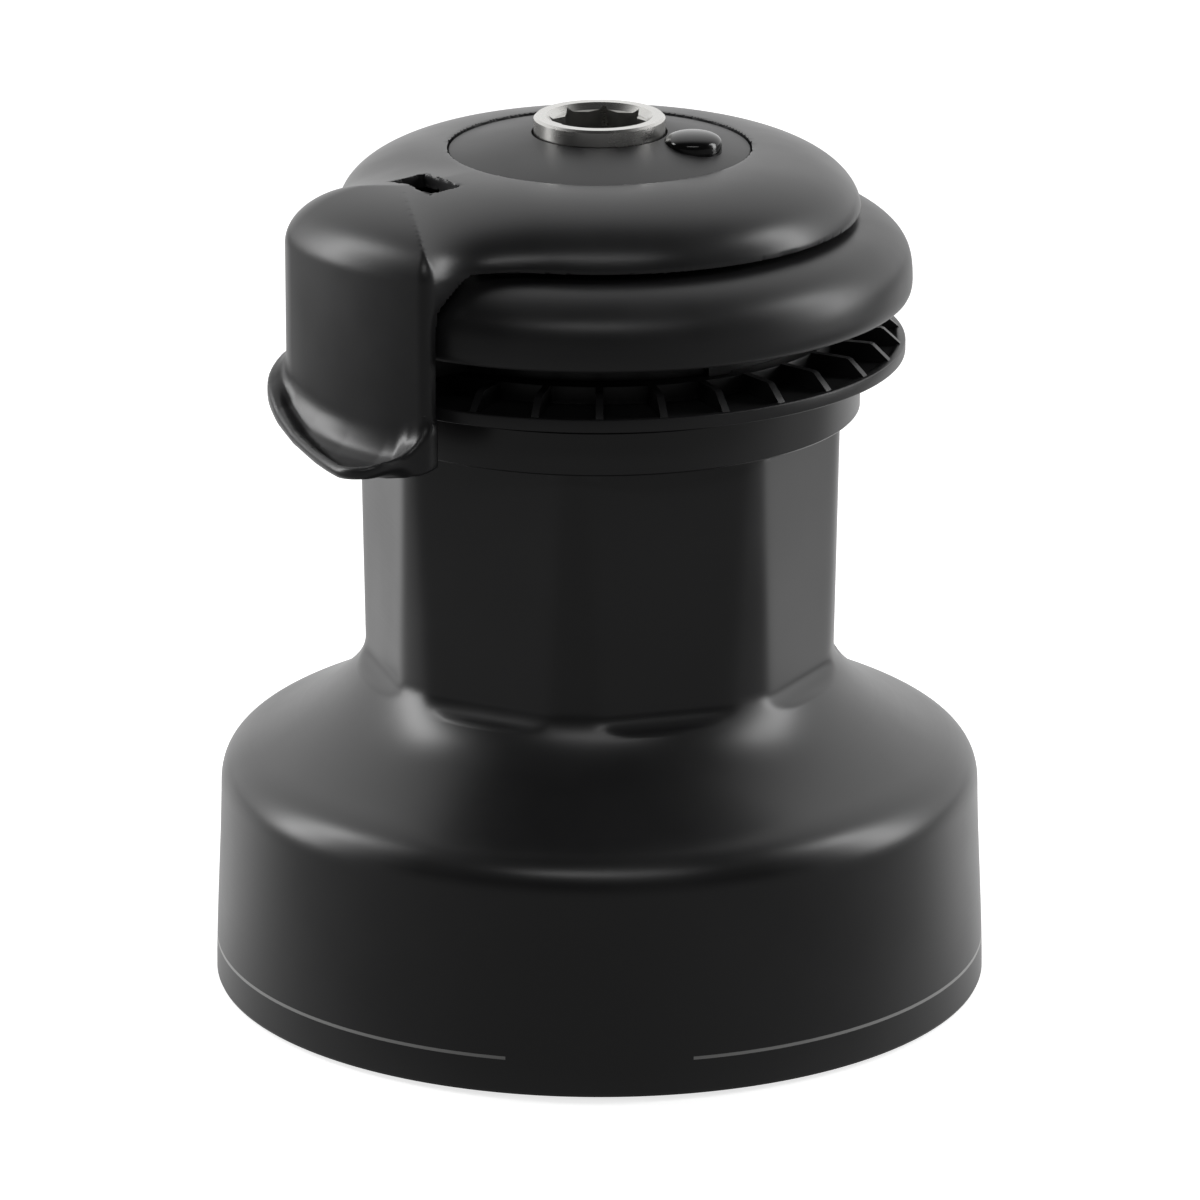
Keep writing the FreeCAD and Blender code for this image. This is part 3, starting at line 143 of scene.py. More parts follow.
def rounded(corners, radius, steps=3):
    """A closed section with each corner eased by a small curve."""
    line = []
    count = len(corners)
    for i in range(count):
        before, here, after = (np.array(corners[j % count], float) for j in (i - 1, i, i + 1))
        back, on = before - here, after - here
        ease = min(radius, 0.45 * np.linalg.norm(back), 0.45 * np.linalg.norm(on))
        start = here + back / np.linalg.norm(back) * ease
        end = here + on / np.linalg.norm(on) * ease
        for t in np.linspace(0, 1, steps + 1):
            line.append((1 - t) ** 2 * start + 2 * (1 - t) * t * here + t ** 2 * end)
    return line


def turned(radius, height, turn):
    """Corners round the axis: one row per direction, one column per radius and height."""
    radius = np.broadcast_to(radius, (len(turn), len(height)))
    return np.stack([
        radius * np.cos(turn)[:, None],
        radius * np.sin(turn)[:, None],
        np.broadcast_to(height, radius.shape),
    ], 2)


def grid_faces(columns, rows):
    """Faces of a grid of corners that closes on itself both ways."""
    faces = []
    for i in range(columns):
        j = (i + 1) % columns
        for a in range(rows):
            b = (a + 1) % rows
            faces.append((i * rows + a, j * rows + a, j * rows + b, i * rows + b))
    return faces


def ring(section, segments=SEGMENTS, centre=(0.0, 0.0)):
    """Corners and faces of a closed section of radius and height pairs, turned about an upright line."""
    section = np.array(section, float)
    turn = np.arange(segments) * 2 * math.pi / segments
    corners = turned(section[:, 0], section[:, 1], turn) + np.array([*centre, 0.0])
    return corners.reshape(-1, 3), grid_faces(segments, len(section))


def radial_plate(section, half, angle):
    """A thin plate in a plane through the axis: its section is radius and height pairs."""
    turn = math.radians(angle)
    out, side = (math.cos(turn), math.sin(turn)), (-math.sin(turn), math.cos(turn))
    corners = []
    for offset in (-half, half):
        for r, z in section:
            corners.append((out[0] * r + side[0] * offset, out[1] * r + side[1] * offset, z))
    count = len(section)
    faces = [tuple(range(count)), tuple(count + i for i in reversed(range(count)))]
    for i in range(count):
        on = (i + 1) % count
        faces.append((on, i, count + i, count + on))
    return corners, faces


def ribs(section):
    """Plates of one section, evenly round the axis."""
    return [radial_plate(section, RIB_HALF, RIB_FIRST + 360.0 / RIBS * i) for i in range(RIBS)]


def piece(name, parts, material, body, replaces, crease=32.0):
    """One object from several lots of corners and faces. Its faces are smooth between creases."""
    corners, faces = [], []
    for lot, lot_faces in parts:
        start = len(corners)
        corners.extend(lot)
        faces.extend(tuple(start + i for i in f) for f in lot_faces)
    mesh = bpy.data.meshes.new(name)
    mesh.from_pydata([Vector(c) * MM for c in corners], [], faces)
    mesh.update()
    mesh.materials.append(material)
    made = bpy.data.objects.new(name, mesh)
    bpy.context.scene.collection.objects.link(made)
    outward(mesh)
    mesh.polygons.foreach_set("use_smooth", [True] * len(mesh.polygons))
    mesh.set_sharp_from_angle(angle=math.radians(crease))
    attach(made, body)
    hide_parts(*replaces)


def outward(mesh):
    """Turns every closed shell's faces to the outside."""
    bm = bmesh.new()
    bm.from_mesh(mesh)
    bmesh.ops.recalc_face_normals(bm, faces=bm.faces)
    bm.to_mesh(mesh)
    bm.free()


def settled(distance, start, step):
    """Moves the corners from the middles of their cells onto the surface."""
    points = start.copy()
    small = 0.04
    reach = 0.4 * step
    room = 0.75 * step
    for _ in range(8):
        value = distance(*points.T)
        slope = np.stack([
            (distance(*(points + d).T) - distance(*(points - d).T)) / (2 * small)
            for d in np.eye(3) * small
        ], 1)
        move = -slope * (value / np.maximum((slope ** 2).sum(1), 0.05))[:, None]
        points = start + np.clip(points + np.clip(move, -reach, reach) - start, -room, room)
    return points


def skin(distance, low, high, step):
    """Faces over a distance function's zero surface, with one corner in each cell that it crosses."""
    axes = [np.arange(a, b + step, step) for a, b in zip(low, high)]
    inside = distance(*np.meshgrid(*axes, indexing="ij")) < 0
    size = np.array(inside.shape) - 1
    count = np.zeros(size, int)
    for shift in product((0, 1), repeat=3):
        count += inside[tuple(slice(s, s + n) for s, n in zip(shift, size))]
    mixed = (count > 0) & (count < 8)
    number = np.full(size, -1)
    number[mixed] = np.arange(mixed.sum())
    points = settled(distance, (np.argwhere(mixed) + 0.5) * step + np.array(low), step)
    faces = []
    for axis in range(3):
        others = [a for a in range(3) if a != axis]
        near = [slice(1, -1)] * 3
        near[axis] = slice(0, size[axis])
        far = list(near)
        far[axis] = slice(1, size[axis] + 1)
        a, b = inside[tuple(near)], inside[tuple(far)]
        where = np.argwhere(a != b)
        where[:, others] += 1
        leaving = a[a != b]
        quads = []
        for p, q in ((-1, -1), (0, -1), (0, 0), (-1, 0)):
            cell = where.copy()
            cell[:, others[0]] += p
            cell[:, others[1]] += q
            quads.append(number[tuple(cell.T)])
        quads = np.stack(quads, 1)
        flip = leaving == (axis == 1)
        quads[flip] = quads[flip][:, ::-1]
        faces.append(quads)
    return points, np.concatenate(faces)


# Materials

def linear(code):
    """A hex colour as its linear value."""
    parts = [int(code[i:i + 2], 16) / 255 for i in (1, 3, 5)]
    return tuple(p / 12.92 if p <= 0.04045 else ((p + 0.055) / 1.055) ** 2.4 for p in parts) + (1.0,)


def node(tree, kind, inputs=None, **settings):
    """Adds a node with its settings. An input takes a plain value or another node's output."""
    made = tree.nodes.new(kind)
    for key, value in settings.items():
        setattr(made, key, value)
    for key, value in (inputs or {}).items():
        if isinstance(value, bpy.types.NodeSocket):
            tree.links.new(value, made.inputs[key])
        else:
            made.inputs[key].default_value = value
    return made


def material(name):
    made = bpy.data.materials.new(name)
    made.use_nodes = True
    tree = made.node_tree
    tree.nodes.clear()
    out = node(tree, "ShaderNodeOutputMaterial")
    place = node(tree, "ShaderNodeTexCoord").outputs["Object"]
    return made, tree, out, place


def finish_surface(tree, out, **inputs):
    inputs = {key.replace("_", " "): value for key, value in inputs.items()}
    shader = node(tree, "ShaderNodeBsdfPrincipled", inputs)
    tree.links.new(shader.outputs[0], out.inputs["Surface"])


def reckoned(tree, operation, *values, **settings):
    """One step of arithmetic on values or outputs."""
    return node(tree, "ShaderNodeMath", dict(enumerate(values)), operation=operation, **settings).outputs[0]


def noise(tree, place, size, detail):
    """Noise with features this many millimetres across, as a grey value."""
    inputs = {"Vector": place, "Scale": 1.0 / (size * MM), "Detail": detail}
    return node(tree, "ShaderNodeTexNoise", inputs).outputs["Fac"]


def tool_rings(tree, place, size, detail):
    """Noise that changes with height only, like the rings that a turning tool leaves."""
    height = node(tree, "ShaderNodeSeparateXYZ", {"Vector": place}).outputs["Z"]
    upright = node(tree, "ShaderNodeCombineXYZ", {"Z": height}).outputs["Vector"]
    return noise(tree, upright, size, detail)


def between(tree, amount, low, high, start=0.0, end=1.0, **settings):
    """Spreads a grey value over a range."""
    inputs = {"Value": amount, "From Min": start, "From Max": end, "To Min": low, "To Max": high}
    return node(tree, "ShaderNodeMapRange", inputs, **settings).outputs["Result"]


def mixed_colour(tree, amount, first, second):
    inputs = {"Factor": amount, "A": first, "B": second}
    return node(tree, "ShaderNodeMix", inputs, data_type="RGBA").outputs["Result"]


def bumped(tree, height, strength, depth):
    """A bump this many millimetres deep."""
    inputs = {"Height": height, "Strength": strength, "Distance": depth * MM}
    return node(tree, "ShaderNodeBump", inputs).outputs["Normal"]


def hard_anodised_aluminium():
    """Turned aluminium, blasted and hard anodised black.

    The thick oxide is near black with a soft satin sheen. Turning leaves faint rings 0.8 mm apart, the
    blasting a very fine grain, and handling makes broad patches that shine a little more.
    """
    made, tree, out, place = material("hard_anodised_aluminium")
    patches = noise(tree, place, 38, 3.0)
    grain = noise(tree, place, 0.5, 2.0)
    turning = tool_rings(tree, place, 0.8, 1.0)
    broad = between(tree, patches, 0.0, 1.0, 0.35, 0.65)
    shade = mixed_colour(tree, broad, linear("#161617"), linear("#1b1b1c"))
    colour = mixed_colour(tree, skirt_line(tree, place), shade, linear("#8f8f8e"))
    sheen = between(tree, patches, 0.30, 0.37, 0.3, 0.7)
    rough = reckoned(tree, "ADD", sheen, between(tree, turning, -0.015, 0.015))
    bump = bumped(tree, reckoned(tree, "ADD", grain, turning), 0.12, 0.02)
    finish_surface(tree, out, Base_Color=colour, Roughness=rough, Metallic=0.0, Normal=bump, IOR=1.6)
    return made


def skirt_line(tree, place):
    """The thin bright ring cut through the black near the skirt's foot. It stops short of the front."""
    height, half_width, radius_past, front_gap = 10.3 * MM, 0.4 * MM, 93.5 * MM, 22.4 * MM
    split = node(tree, "ShaderNodeSeparateXYZ", {"Vector": place})
    x, y, z = (split.outputs[axis] for axis in "XYZ")
    level = node(tree, "ShaderNodeCombineXYZ", {"X": x, "Y": y}).outputs["Vector"]
    radius = node(tree, "ShaderNodeVectorMath", {0: level}, operation="LENGTH").outputs["Value"]
    at_height = reckoned(tree, "COMPARE", z, height, half_width)
    outside = reckoned(tree, "GREATER_THAN", radius, radius_past)
    gap = reckoned(tree, "COMPARE", x, 0.0, front_gap)
    bare = reckoned(tree, "MULTIPLY", gap, reckoned(tree, "LESS_THAN", y, 0.0))
    shown = reckoned(tree, "SUBTRACT", at_height, bare, use_clamp=True)
    return reckoned(tree, "MULTIPLY", shown, outside)


def moulded_nylon(name, dark, light, rough):
    """Black glass-filled nylon from a spark-eroded mould.

    The mould's fine grain gives a soft, even sheen. The real grain is about 0.3 mm, drawn at 0.6 mm
    so that it shows, with broad faint clouds where the plastic has flowed.
    """
    made, tree, out, place = material(name)
    clouds = noise(tree, place, 26, 3.0)
    grain = noise(tree, place, 0.6, 3.0)
    colour = mixed_colour(tree, between(tree, clouds, 0.0, 1.0, 0.35, 0.65), linear(dark), linear(light))
    sheen = between(tree, clouds, rough - 0.04, rough + 0.04, 0.3, 0.7)
    bump = bumped(tree, grain, 0.35, 0.03)
    finish_surface(tree, out, Base_Color=colour, Roughness=sheen, Normal=bump, IOR=1.53)
    return made


def polished_acetal():
    """Black acetal, polished. It mirrors its surroundings, and fingers leave it a little duller in places."""
    made, tree, out, place = material("polished_acetal")
    smears = noise(tree, place, 3.0, 4.0)
    colour = mixed_colour(tree, smears, linear("#0b0b0b"), linear("#111112"))
    sheen = between(tree, smears, 0.08, 0.20, 0.3, 0.7)
    finish_surface(tree, out, Base_Color=colour, Roughness=sheen, IOR=1.48)
    return made


def natural_acetal():
    """Machined natural acetal: milky white, slightly waxy, with fine tool marks."""
    made, tree, out, place = material("natural_acetal")
    marks = noise(tree, place, 0.5, 2.0)
    colour = mixed_colour(tree, marks, linear("#d9d6cc"), linear("#e4e1d8"))
    bump = bumped(tree, marks, 0.2, 0.02)
    finish_surface(tree, out, Base_Color=colour, Roughness=0.42, Normal=bump, IOR=1.48)
    return made


def machined_metal(name, dark, light, rough, mark_size):
    """Turned metal: a bright ground with fine rings from the tool, about 0.15 mm apart, drawn coarser."""
    made, tree, out, place = material(name)
    turning = tool_rings(tree, place, mark_size, 2.0)
    stains = noise(tree, place, 9.0, 4.0)
    colour = mixed_colour(tree, between(tree, stains, 0.0, 1.0, 0.3, 0.7), linear(dark), linear(light))
    sheen = between(tree, stains, rough - 0.04, rough + 0.06, 0.3, 0.7)
    marked = reckoned(tree, "ADD", sheen, between(tree, turning, -0.03, 0.03))
    bump = bumped(tree, turning, 0.15, 0.02)
    finish_surface(tree, out, Base_Color=colour, Metallic=1.0, Roughness=marked, Normal=bump)
    return made


anodised_black = hard_anodised_aluminium()
cover_nylon = moulded_nylon("glass_filled_nylon_cover", "#1e1e1f", "#242425", 0.35)
jaw_nylon = moulded_nylon("glass_filled_nylon_jaws", "#1a1a1b", "#1f1f20", 0.39)
plate_nylon = moulded_nylon("glass_filled_nylon_plate", "#222223", "#282829", 0.5)
button_acetal = polished_acetal()
white_acetal = natural_acetal()
stainless = machined_metal("turned_stainless_steel", "#b9b8b5", "#c8c7c4", 0.24, 0.3)
bronze = machined_metal("machined_aluminium_bronze", "#b98d4e", "#c9a05e", 0.34, 0.4)
clear_anodised = machined_metal("clear_anodised_aluminium", "#b4b6b8", "#c0c2c4", 0.42, 0.5)


# Drum: turned skirt and neck, eight facets milled into the grip, and the collar under the jaws

DRUM_INSIDE = (
    (55.2, COLLAR_TOP), (55.2, 154.0), (41.2, 154.0), (41.2, 150.0), (48.2, 150.0), (48.2, 56.2),
    (65.0, 56.2), (65.0, 42.0), (73.0, 42.0), (73.0, 62.0), (84.0, 56.6), (88.9, 50.0), (89.3, SKIRT_FOOT),
)


def drum_section():
    """Outside of the drum from its foot to its top, as radius and height pairs."""
    skirt_top = (SKIRT_TOP_RADIUS, SKIRT_TOP)
    slope_end = (SLOPE_RADIUS, SLOPE_HEIGHT)
    grip_foot = (GRIP_RADIUS, GRIP_BOTTOM)
    line = [(SKIRT_RADIUS - 0.8, SKIRT_FOOT), (SKIRT_RADIUS - 0.3, SKIRT_FOOT + 0.15)]
    line += [(SKIRT_RADIUS, SKIRT_FOOT + 0.8)]
    line += bezier((SKIRT_RADIUS, SKIRT_FOOT + 1), (94.9, 16), (93.6, 34), skirt_top, 22)
    line += bezier(skirt_top, (SKIRT_TOP_RADIUS, 58), (88.1, 60.3), slope_end, 22)
    line += bezier(slope_end, (71.1, 67.7), (GRIP_RADIUS, 77), grip_foot, 44)
    grip_height = COLLAR_BOTTOM - GRIP_BOTTOM
    for z in np.linspace(GRIP_BOTTOM, COLLAR_BOTTOM, 40):
        line.append((GRIP_RADIUS + GRIP_SPREAD * (z - GRIP_BOTTOM) / grip_height, z))
    line += [(COLLAR_RADIUS - 0.4, COLLAR_BOTTOM), (COLLAR_RADIUS, COLLAR_BOTTOM + 0.4)]
    line += [(COLLAR_RADIUS, 150), (COLLAR_RADIUS, COLLAR_TOP - 0.6), (COLLAR_RADIUS - 0.6, COLLAR_TOP)]
    return np.array(line, float)


def facet_distance(z):
    """How far a milled flat lies from the axis. Its foot is the round of the cutter."""
    up = np.clip((FACET_BOTTOM + FACET_CORNER - z) / FACET_CORNER, 0, 1)
    distance = FACET_DISTANCE + FACET_CORNER * (1 - np.sqrt(1 - up ** 2))
    nowhere = 1e3
    return np.where((z < FACET_BOTTOM) | (z > COLLAR_BOTTOM - 1e-3), nowhere, distance)


def drum_pieces():
    line = drum_section()
    turn = np.arange(2 * SEGMENTS) * math.pi / SEGMENTS
    pitch = 2 * math.pi / FACETS
    off = (turn - math.radians(FACET_FIRST) + pitch / 2) % pitch - pitch / 2
    flat = facet_distance(line[:, 1])[None, :] / np.cos(off)[:, None]
    full = np.broadcast_to(line[None, :, 0], flat.shape)
    middle = 50.0
    eased = np.exp(-(full - middle) * FACET_SHARPNESS) + np.exp(-(flat - middle) * FACET_SHARPNESS)
    radius = middle - np.log(eased) / FACET_SHARPNESS
    radius = np.where(flat - full > 4, full, radius)
    inner = np.array(DRUM_INSIDE)
    whole = np.concatenate([turned(radius, line[:, 1], turn), turned(inner[:, 0], inner[:, 1], turn)], 1)
    faces = grid_faces(len(turn), whole.shape[1])
    piece("drum_shell", [(whole.reshape(-1, 3), faces)], anodised_black, "drum", ("drum",),
          crease=40)


drum_pieces()


# Jaws: a lower dish and an upper bell, each with thirty ribs that grip the line

def lower_jaw_pieces():
    dish = [(55.1, 160.4), (66.0, 160.4), (67.2, 159.8), (74.3, 159.8), (74.3, 163.0), (72.4, 163.0),
            (71.4, 162.4), (59.1, 162.4), (59.1, 167.0), (55.1, 167.0)]
    rib = [(58.6, 161.9), (58.6, 167.0), (68.4, 167.0), (69.2, 166.7), (72.9, 163.4), (73.4, 162.8),
           (73.4, 161.9)]
    parts = [ring(rounded(dish, 0.5))] + ribs(rib)
    piece("lower_jaw_dish", parts, jaw_nylon, "lower_jaw", ("lower_jaw",))


def upper_jaw_pieces():
    bell = bezier((72.9, 176.5), (74.0, 173.4), (75.9, 174.4), (75.9, 178.0), 8)
    bell += bezier((75.9, 178.0), (75.8, 183.5), (75.3, 186.5), (71.0, 189.9), 16)
    bell += bezier((71.0, 189.9), (68.0, 192.2), (64.5, 193.4), (61.0, 193.4), 12)
    bell += [(57.6, 193.4), (57.0, 192.8), (57.0, 183.0), (55.0, 181.0), (44.7, 181.0), (44.7, 176.0),
             (57.0, 176.0), (60.0, 178.0), (60.0, 188.4), (62.0, 190.4)]
    bell += bezier((62.0, 190.4), (69.0, 190.0), (72.9, 187.0), (72.9, 183.5), 8)
    rib = [(56.6, 176.5), (56.6, 173.4), (61.0, 173.4), (74.4, 176.0), (74.4, 182.5), (62.0, 190.8),
           (59.5, 190.3), (59.5, 176.5)]
    piece("upper_jaw_bell", [ring(bell)] + ribs(rib), jaw_nylon, "drum", ("upper_jaw",))


lower_jaw_pieces()
upper_jaw_pieces()


# Arm cover: the crowned cover, the arm that comes down outside the jaws, and its lip

def soft_least(a, b, blend):
    """The smaller of two distances, eased where they are near each other."""
    near = np.maximum(blend - np.abs(a - b), 0) / blend
    return np.minimum(a, b) - near ** 2 * blend / 4


def soft_most(a, b, blend):
    return -soft_least(-a, -b, blend)


def corner(a, b, radius):
    """Two faces that meet in a rounded outer corner."""
    far = np.hypot(np.maximum(a + radius, 0), np.maximum(b + radius, 0))
    return far + np.minimum(np.maximum(a, b) + radius, 0) - radius


def beside(x, y, angle, side):
    """Distance from the upright plane through the axis at an angle, positive on the given side."""
    turn = math.radians(angle)
    return side * (math.cos(turn) * y - math.sin(turn) * x)


def outward_and_along(x, y, angle):
    """Places seen from a direction: how far out from the axis, and how far to its left."""
    turn = math.radians(angle)
    return x * math.cos(turn) + y * math.sin(turn), -x * math.sin(turn) + y * math.cos(turn)


def cover_outline(x, y):
    """Distance outside the cover seen from above: a disc with the arm grown out of it."""
    r = np.hypot(x, y)
    outer = r - ARM_RADIUS
    left = corner(beside(x, y, ARM_FIRST, -1), outer, ARM_LEFT_ROUND)
    right = corner(beside(x, y, ARM_LAST, 1), outer, ARM_RIGHT_ROUND)
    out, _ = outward_and_along(x, y, ARM_MIDDLE)
    arm = np.maximum(np.maximum(left, right), -out)
    return soft_least(r - COVER_RADIUS, arm, ARM_HOLLOW_ROUND)


def crown(plan, z, lowered=0.0):
    """Distance outside the cover's rounded top over its outline."""
    wide, high = CROWN_WIDTH, COVER_TOP - CROWN_FOOT - lowered
    u = np.clip((wide + plan) / wide, 0, None)
    v = np.maximum(z - CROWN_FOOT, 0) / high
    near = np.maximum(np.hypot(u, v), 1e-6)
    return near * (near - 1) / np.maximum(np.hypot(u / wide, v / high), 1e-6)


LIP_LINE = catmull([
    (-33, 70), (-29, 79), (-22, 84.5), (-11, 89.2), (2, 93.3), (13, 96.2), (19.5, 96.4), (24.2, 93.2),
    (25.6, 88), (24.8, 82), (22, 76)], 6)
LIP_ROOT = np.array((0.0, 60.0))
LIP_STATIONS = (-33, -26, -18, -8, 4, 16, 23, 27)
LIP_RIM = (163, 159.5, 156.3, 154.0, 152.8, 152.4, 153.2, 155.0)


def lip_outline(s, n):
    """Distance outside the lip's edge seen from above."""
    line = np.array(LIP_LINE + [LIP_ROOT])
    best = np.full(s.shape, 1e9)
    inside = np.zeros(s.shape, bool)
    for a, b in zip(line, np.roll(line, -1, 0)):
        edge = b - a
        along = np.clip(((s - a[0]) * edge[0] + (n - a[1]) * edge[1]) / (edge @ edge), 0, 1)
        best = np.minimum(best, np.hypot(s - a[0] - along * edge[0], n - a[1] - along * edge[1]))
        rising = (a[1] > n) != (b[1] > n)
        if abs(edge[1]) > 1e-9:
            inside ^= rising & (s < a[0] + edge[0] * (n - a[1]) / edge[1])
    return np.where(inside, -best, best)


def lip_distance(x, y, z):
    """The scoop that leads the line: a thin tongue with a raised rim round a shallow dish."""
    n, s = outward_and_along(x, y, LIP_ANGLE)
    edge = lip_outline(s, n)
    rim = np.interp(s, LIP_STATIONS, LIP_RIM)
    dish = np.clip((-edge - 1.0) / 4.0, 0, 1)
    top = rim - LIP_DISH * dish * dish * (3 - 2 * dish)
    foot = rim - LIP_THICKNESS - np.clip(-edge / 6.0, 0, 1)
    return soft_most(edge, soft_most(z - top, foot - z, 0.6), COVER_EASE)


def with_lip(whole, x, y, z):
    """Joins the lip to the arm's foot. It is worked out only near it, which saves time."""
    near_lip = z < LIP_REACH
    if not near_lip.any():
        return whole
    lip = np.full(np.shape(whole), 1e3)
    near_lip = near_lip & (x < -20) & (y < -10)
    lip[near_lip] = lip_distance(x[near_lip], y[near_lip], z[near_lip])
    return np.where(near_lip, soft_least(whole, lip, LIP_FILLET), whole)


def jaw_room(r, z):
    """Distance outside the room that the jaws turn in, with a sloped corner under the arm's roof."""
    slope = (r - ARM_INNER) * 0.68 + (z - JAW_ROOM_SLOPE) * 0.73
    return np.maximum(np.maximum(r - ARM_INNER, slope), z - JAW_ROOM_TOP)


def sight_window(x, y, z):
    """Distance outside the hole through the arm's roof."""
    out, along = outward_and_along(x, y, WINDOW_ANGLE)
    out = out - WINDOW_CIRCLE
    hole = corner(np.abs(out) - WINDOW_WIDTH / 2, np.abs(along) - WINDOW_LENGTH / 2, 0.8)
    return np.maximum(hole, COVER_EDGE - z)


def cover_distance(x, y, z):
    r = np.hypot(x, y)
    plan = cover_outline(x, y)
    front = corner(-beside(x, y, ARM_LAST, 1), z - COVER_EDGE, ARCH_ROUND)
    back = corner(-beside(x, y, ARM_FIRST, -1), z - COVER_EDGE, ARCH_ROUND)
    behind, _ = outward_and_along(x, y, ARM_MIDDLE)
    whole = soft_most(crown(plan, z), -front, COVER_EASE)
    whole = soft_most(whole, -back, COVER_EASE)
    whole = np.maximum(whole, -np.maximum(behind, z - COVER_EDGE))
    whole = soft_most(whole, ARM_BOTTOM - z, 1.0)
    whole = with_lip(whole, x, y, z)
    hollow = np.maximum(HUB_RADIUS - r, HUB_BOTTOM - 2 - z)
    hollow = np.maximum(crown(plan + COVER_SKIN, z, COVER_SKIN), hollow)
    plate_seat = np.maximum(r - COVER_BORE, PLATE_BOTTOM - z)
    under_hub = np.maximum(r - HUB_RADIUS, z - HUB_BOTTOM)
    for cut in (jaw_room(r, z), hollow, plate_seat, under_hub, r - HUB_BORE, sight_window(x, y, z)):
        whole = np.maximum(whole, -cut)
    return whole


def cover_pieces():
    step = SKIN_STEP
    points, faces = skin(cover_distance, (-86, -90, 146), (67, 67, 214), step)
    piece("arm_cover_shell", [(points, [tuple(f) for f in faces])], cover_nylon, "arm",
          ("arm_cover", "arm_leg"), crease=38)


cover_pieces()


# Top plate and release button

def top_pieces():
    plate = ring(rounded([(PLATE_BORE, PLATE_CENTRE), (PLATE_BORE, PLATE_BOTTOM),
                          (PLATE_RADIUS, PLATE_BOTTOM), (PLATE_RADIUS, PLATE_EDGE)], 0.3))
    piece("top_disc", [plate], plate_nylon, "base", ("top_plate",))
    turn = math.radians(BUTTON_ANGLE)
    centre = (BUTTON_CIRCLE * math.cos(turn), BUTTON_CIRCLE * math.sin(turn))
    cap = bezier((0.001, 215.9), (3.8, 215.9), (6.6, 215.0), (6.95, 213.4), 14)
    cap += [(BUTTON_RADIUS, 213.0), (BUTTON_RADIUS, 210.6), (BUTTON_STEM, 210.6), (BUTTON_STEM, 202.0),
            (0.001, 202.0)]
    piece("button_cap", [ring(cap, 96, centre)], button_acetal, "button",
          ("release_button",))


top_pieces()


# Finishes of the pieces that are carried over from the model

CARRIED = {
    clear_anodised: ("base_plate", "centre_stem"),
    white_acetal: ("lower_bush", "middle_bush", "head_bush", "gear_washers", "lower_cage", "upper_cage",
                   "thrust_washer", "retaining_washer"),
    bronze: ("first_speed_gear", "inner_idler_gear", "outer_idler_gear", "power_gear", "ring_gear"),
    stainless: ("stem_screws", "power_shaft", "idler_shafts", "idler_spacers", "main_spindle",
                "spindle_head", "spindle_gear", "first_pawl_a", "first_pawl_b", "first_pawl_springs",
                "power_pinion", "power_pawls", "power_pawl_springs", "ring_gear_screws",
                "lower_rollers", "upper_rollers", "retaining_ring", "jaw_screws", "jaw_springs",
                "arm_hub_screws", "button_latch", "button_spring"),
    jaw_nylon: ("jaw_hub", "line_stripper", "arm_hub"),
}
for finish, names in CARRIED.items():
    for name in names:
        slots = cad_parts[name].data.materials
        slots.clear()
        slots.append(finish)


# Studio: a white sweep with a painted glow that is bright behind the object, two tall side panels and one
# above the front

FLOOR_HALF = 6.0
FLOOR_BEND = -1.2
CAMERA_PLACE = (0.0, -1.91862, 0.70424)
CAMERA_PITCH = 17.607
CAMERA_FOCAL_PIXELS = 8204.27
CAMERA_SHIFT_PIXELS = 0.5
PHOTO_PIXELS = 1200.0
SENSOR_WIDTH = 36.0
PANELS = (
    ("left_panel", (-1.0, 0.15, 0.50), (0.3, 0.9), 7.0),
    ("right_panel", (1.0, 0.05, 0.50), (0.3, 0.9), 6.5),
    ("front_panel", (0.0, -1.0, 0.95), (0.9, 0.16), 2.0),
)
WHITE = (1, 1, 1, 1)


def floor_paper():
    """White paper. What the object mirrors is grey paper with a painted glow, dim in front of it and bright
    behind, standing in for a sweep lit from behind.
    """
    made, tree, out, place = material("studio_floor_paper")
    rays = node(tree, "ShaderNodeLightPath")
    seen = reckoned(tree, "MAXIMUM", rays.outputs["Is Camera Ray"], rays.outputs["Is Transmission Ray"])
    spot = node(tree, "ShaderNodeSeparateXYZ", {"Vector": place})
    aside = reckoned(tree, "MULTIPLY", spot.outputs["X"], spot.outputs["X"])
    depth = reckoned(tree, "MULTIPLY_ADD", aside, FLOOR_BEND, spot.outputs["Y"])
    # Painted glow: for every ray but the camera's the floor gives off light, bright behind the object and dim
    # in front and to the sides
    glow = between(tree, depth, 0.17, 1.0, -0.12, 0.05, interpolation_type="SMOOTHSTEP")
    painted_glow = node(tree, "ShaderNodeEmission", {"Color": WHITE, "Strength": glow})
    grey = node(tree, "ShaderNodeBsdfDiffuse", {"Color": linear("#3c3c3c")})
    mirrored = node(tree, "ShaderNodeAddShader", {0: grey.outputs[0], 1: painted_glow.outputs[0]})
    paper = node(tree, "ShaderNodeBsdfDiffuse", {"Color": linear("#dcdcdc")})
    lift = node(tree, "ShaderNodeEmission", {"Color": WHITE, "Strength": 0.75})
    shown = node(tree, "ShaderNodeAddShader", {0: paper.outputs[0], 1: lift.outputs[0]})
    both = node(tree, "ShaderNodeMixShader", {0: seen, 1: mirrored.outputs[0], 2: shown.outputs[0]})
    tree.links.new(both.outputs[0], out.inputs["Surface"])
    return made


def studio_floor():
    half = FLOOR_HALF
    floor = bpy.data.meshes.new("studio_floor")
    corners = [(-half, -half, 0), (half, -half, 0), (half, half, 0), (-half, half, 0)]
    floor.from_pydata(corners, [], [(0, 1, 2, 3)])
    floor.materials.append(floor_paper())
    ground = bpy.data.objects.new("studio_floor", floor)
    bpy.context.scene.collection.objects.link(ground)


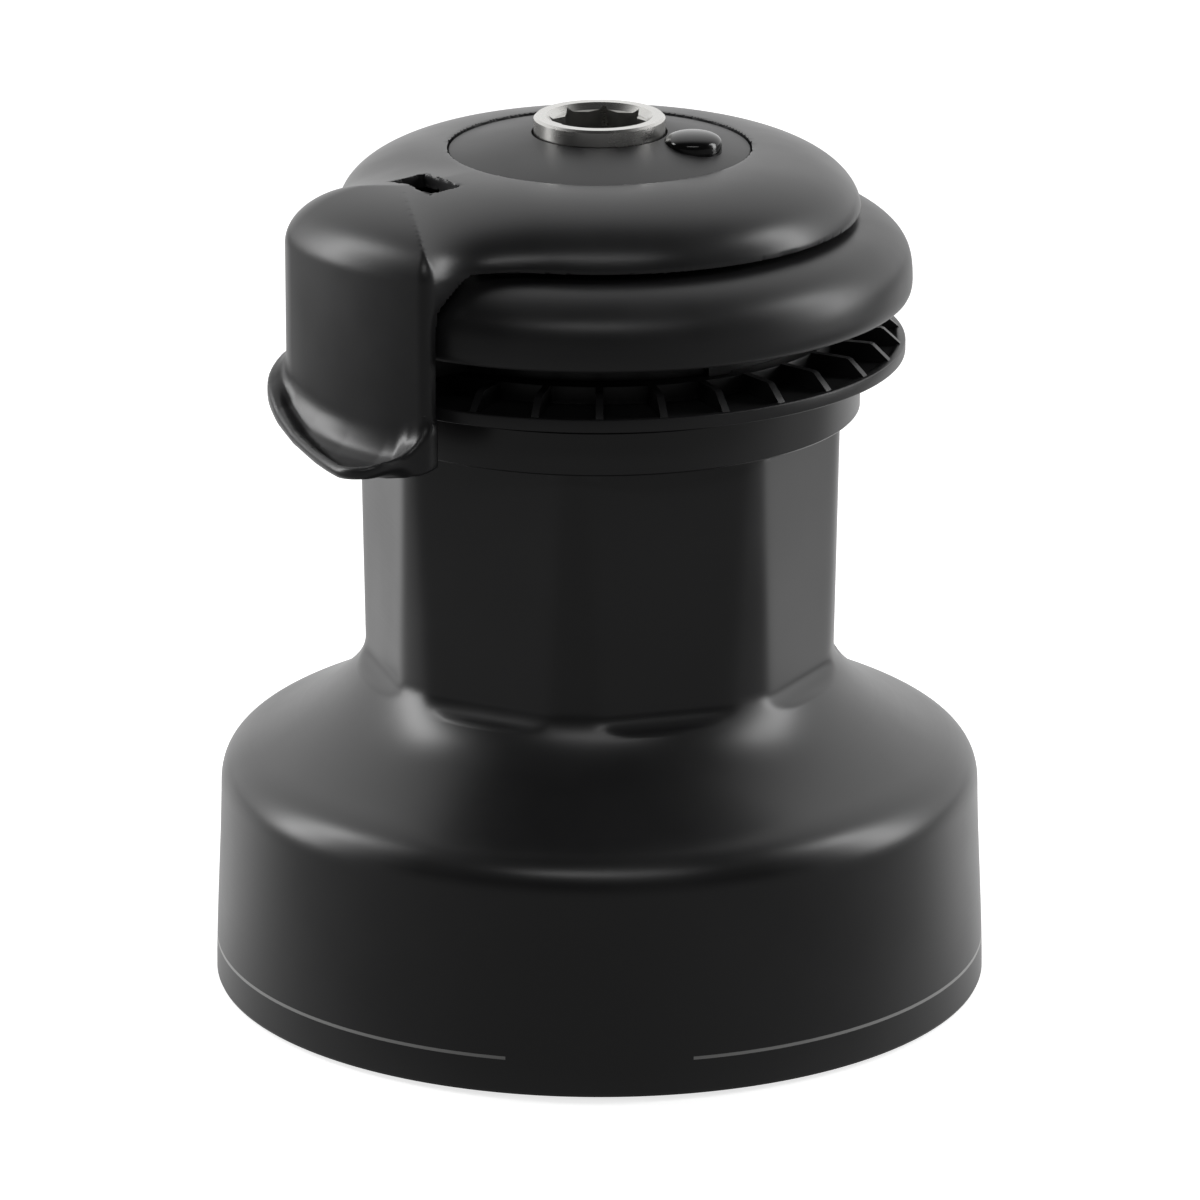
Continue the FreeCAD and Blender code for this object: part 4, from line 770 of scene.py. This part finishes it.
def studio_world():
    """White where the camera looks. Light comes from behind, and the camera's side is dark."""
    world = bpy.data.worlds.new("studio_world")
    bpy.context.scene.world = world
    world.use_nodes = True
    tree = world.node_tree
    tree.nodes.clear()
    out = node(tree, "ShaderNodeOutputWorld")
    toward = node(tree, "ShaderNodeTexCoord").outputs["Generated"]
    depth = node(tree, "ShaderNodeSeparateXYZ", {"Vector": toward}).outputs["Y"]
    behind = between(tree, depth, 0.03, 1.15, -0.10, 0.60, interpolation_type="SMOOTHSTEP")
    seen = node(tree, "ShaderNodeLightPath").outputs["Is Camera Ray"]
    inputs = {"Factor": seen, "A": behind, "B": 1.0}
    strength = node(tree, "ShaderNodeMix", inputs, data_type="FLOAT").outputs["Result"]
    sky = node(tree, "ShaderNodeBackground", {"Color": WHITE, "Strength": strength})
    tree.links.new(sky.outputs[0], out.inputs["Surface"])


def studio_panels():
    for name, place, size, power in PANELS:
        light = bpy.data.lights.new(name, "AREA")
        light.shape = "RECTANGLE"
        light.size, light.size_y = size
        light.energy = power
        lamp = bpy.data.objects.new(name, light)
        bpy.context.scene.collection.objects.link(lamp)
        lamp.location = place
        aim = Vector((0, 0, 0.1)) - Vector(place)
        lamp.rotation_euler = aim.to_track_quat("-Z", "Y").to_euler()


def studio_camera():
    """The camera that took the photograph, as its ellipses show it."""
    camera = bpy.data.cameras.new("camera")
    camera.sensor_width = SENSOR_WIDTH
    camera.sensor_fit = "HORIZONTAL"
    camera.lens = SENSOR_WIDTH * CAMERA_FOCAL_PIXELS / PHOTO_PIXELS
    camera.clip_start, camera.clip_end = 0.1, 50.0
    camera.shift_x = CAMERA_SHIFT_PIXELS / PHOTO_PIXELS
    eye = bpy.data.objects.new("camera", camera)
    bpy.context.scene.collection.objects.link(eye)
    eye.location = CAMERA_PLACE
    eye.rotation_euler = (math.radians(90 - CAMERA_PITCH), 0, 0)
    bpy.context.scene.camera = eye


studio_floor()
studio_world()
studio_panels()
studio_camera()
bpy.context.scene.view_settings.view_transform = "Standard"
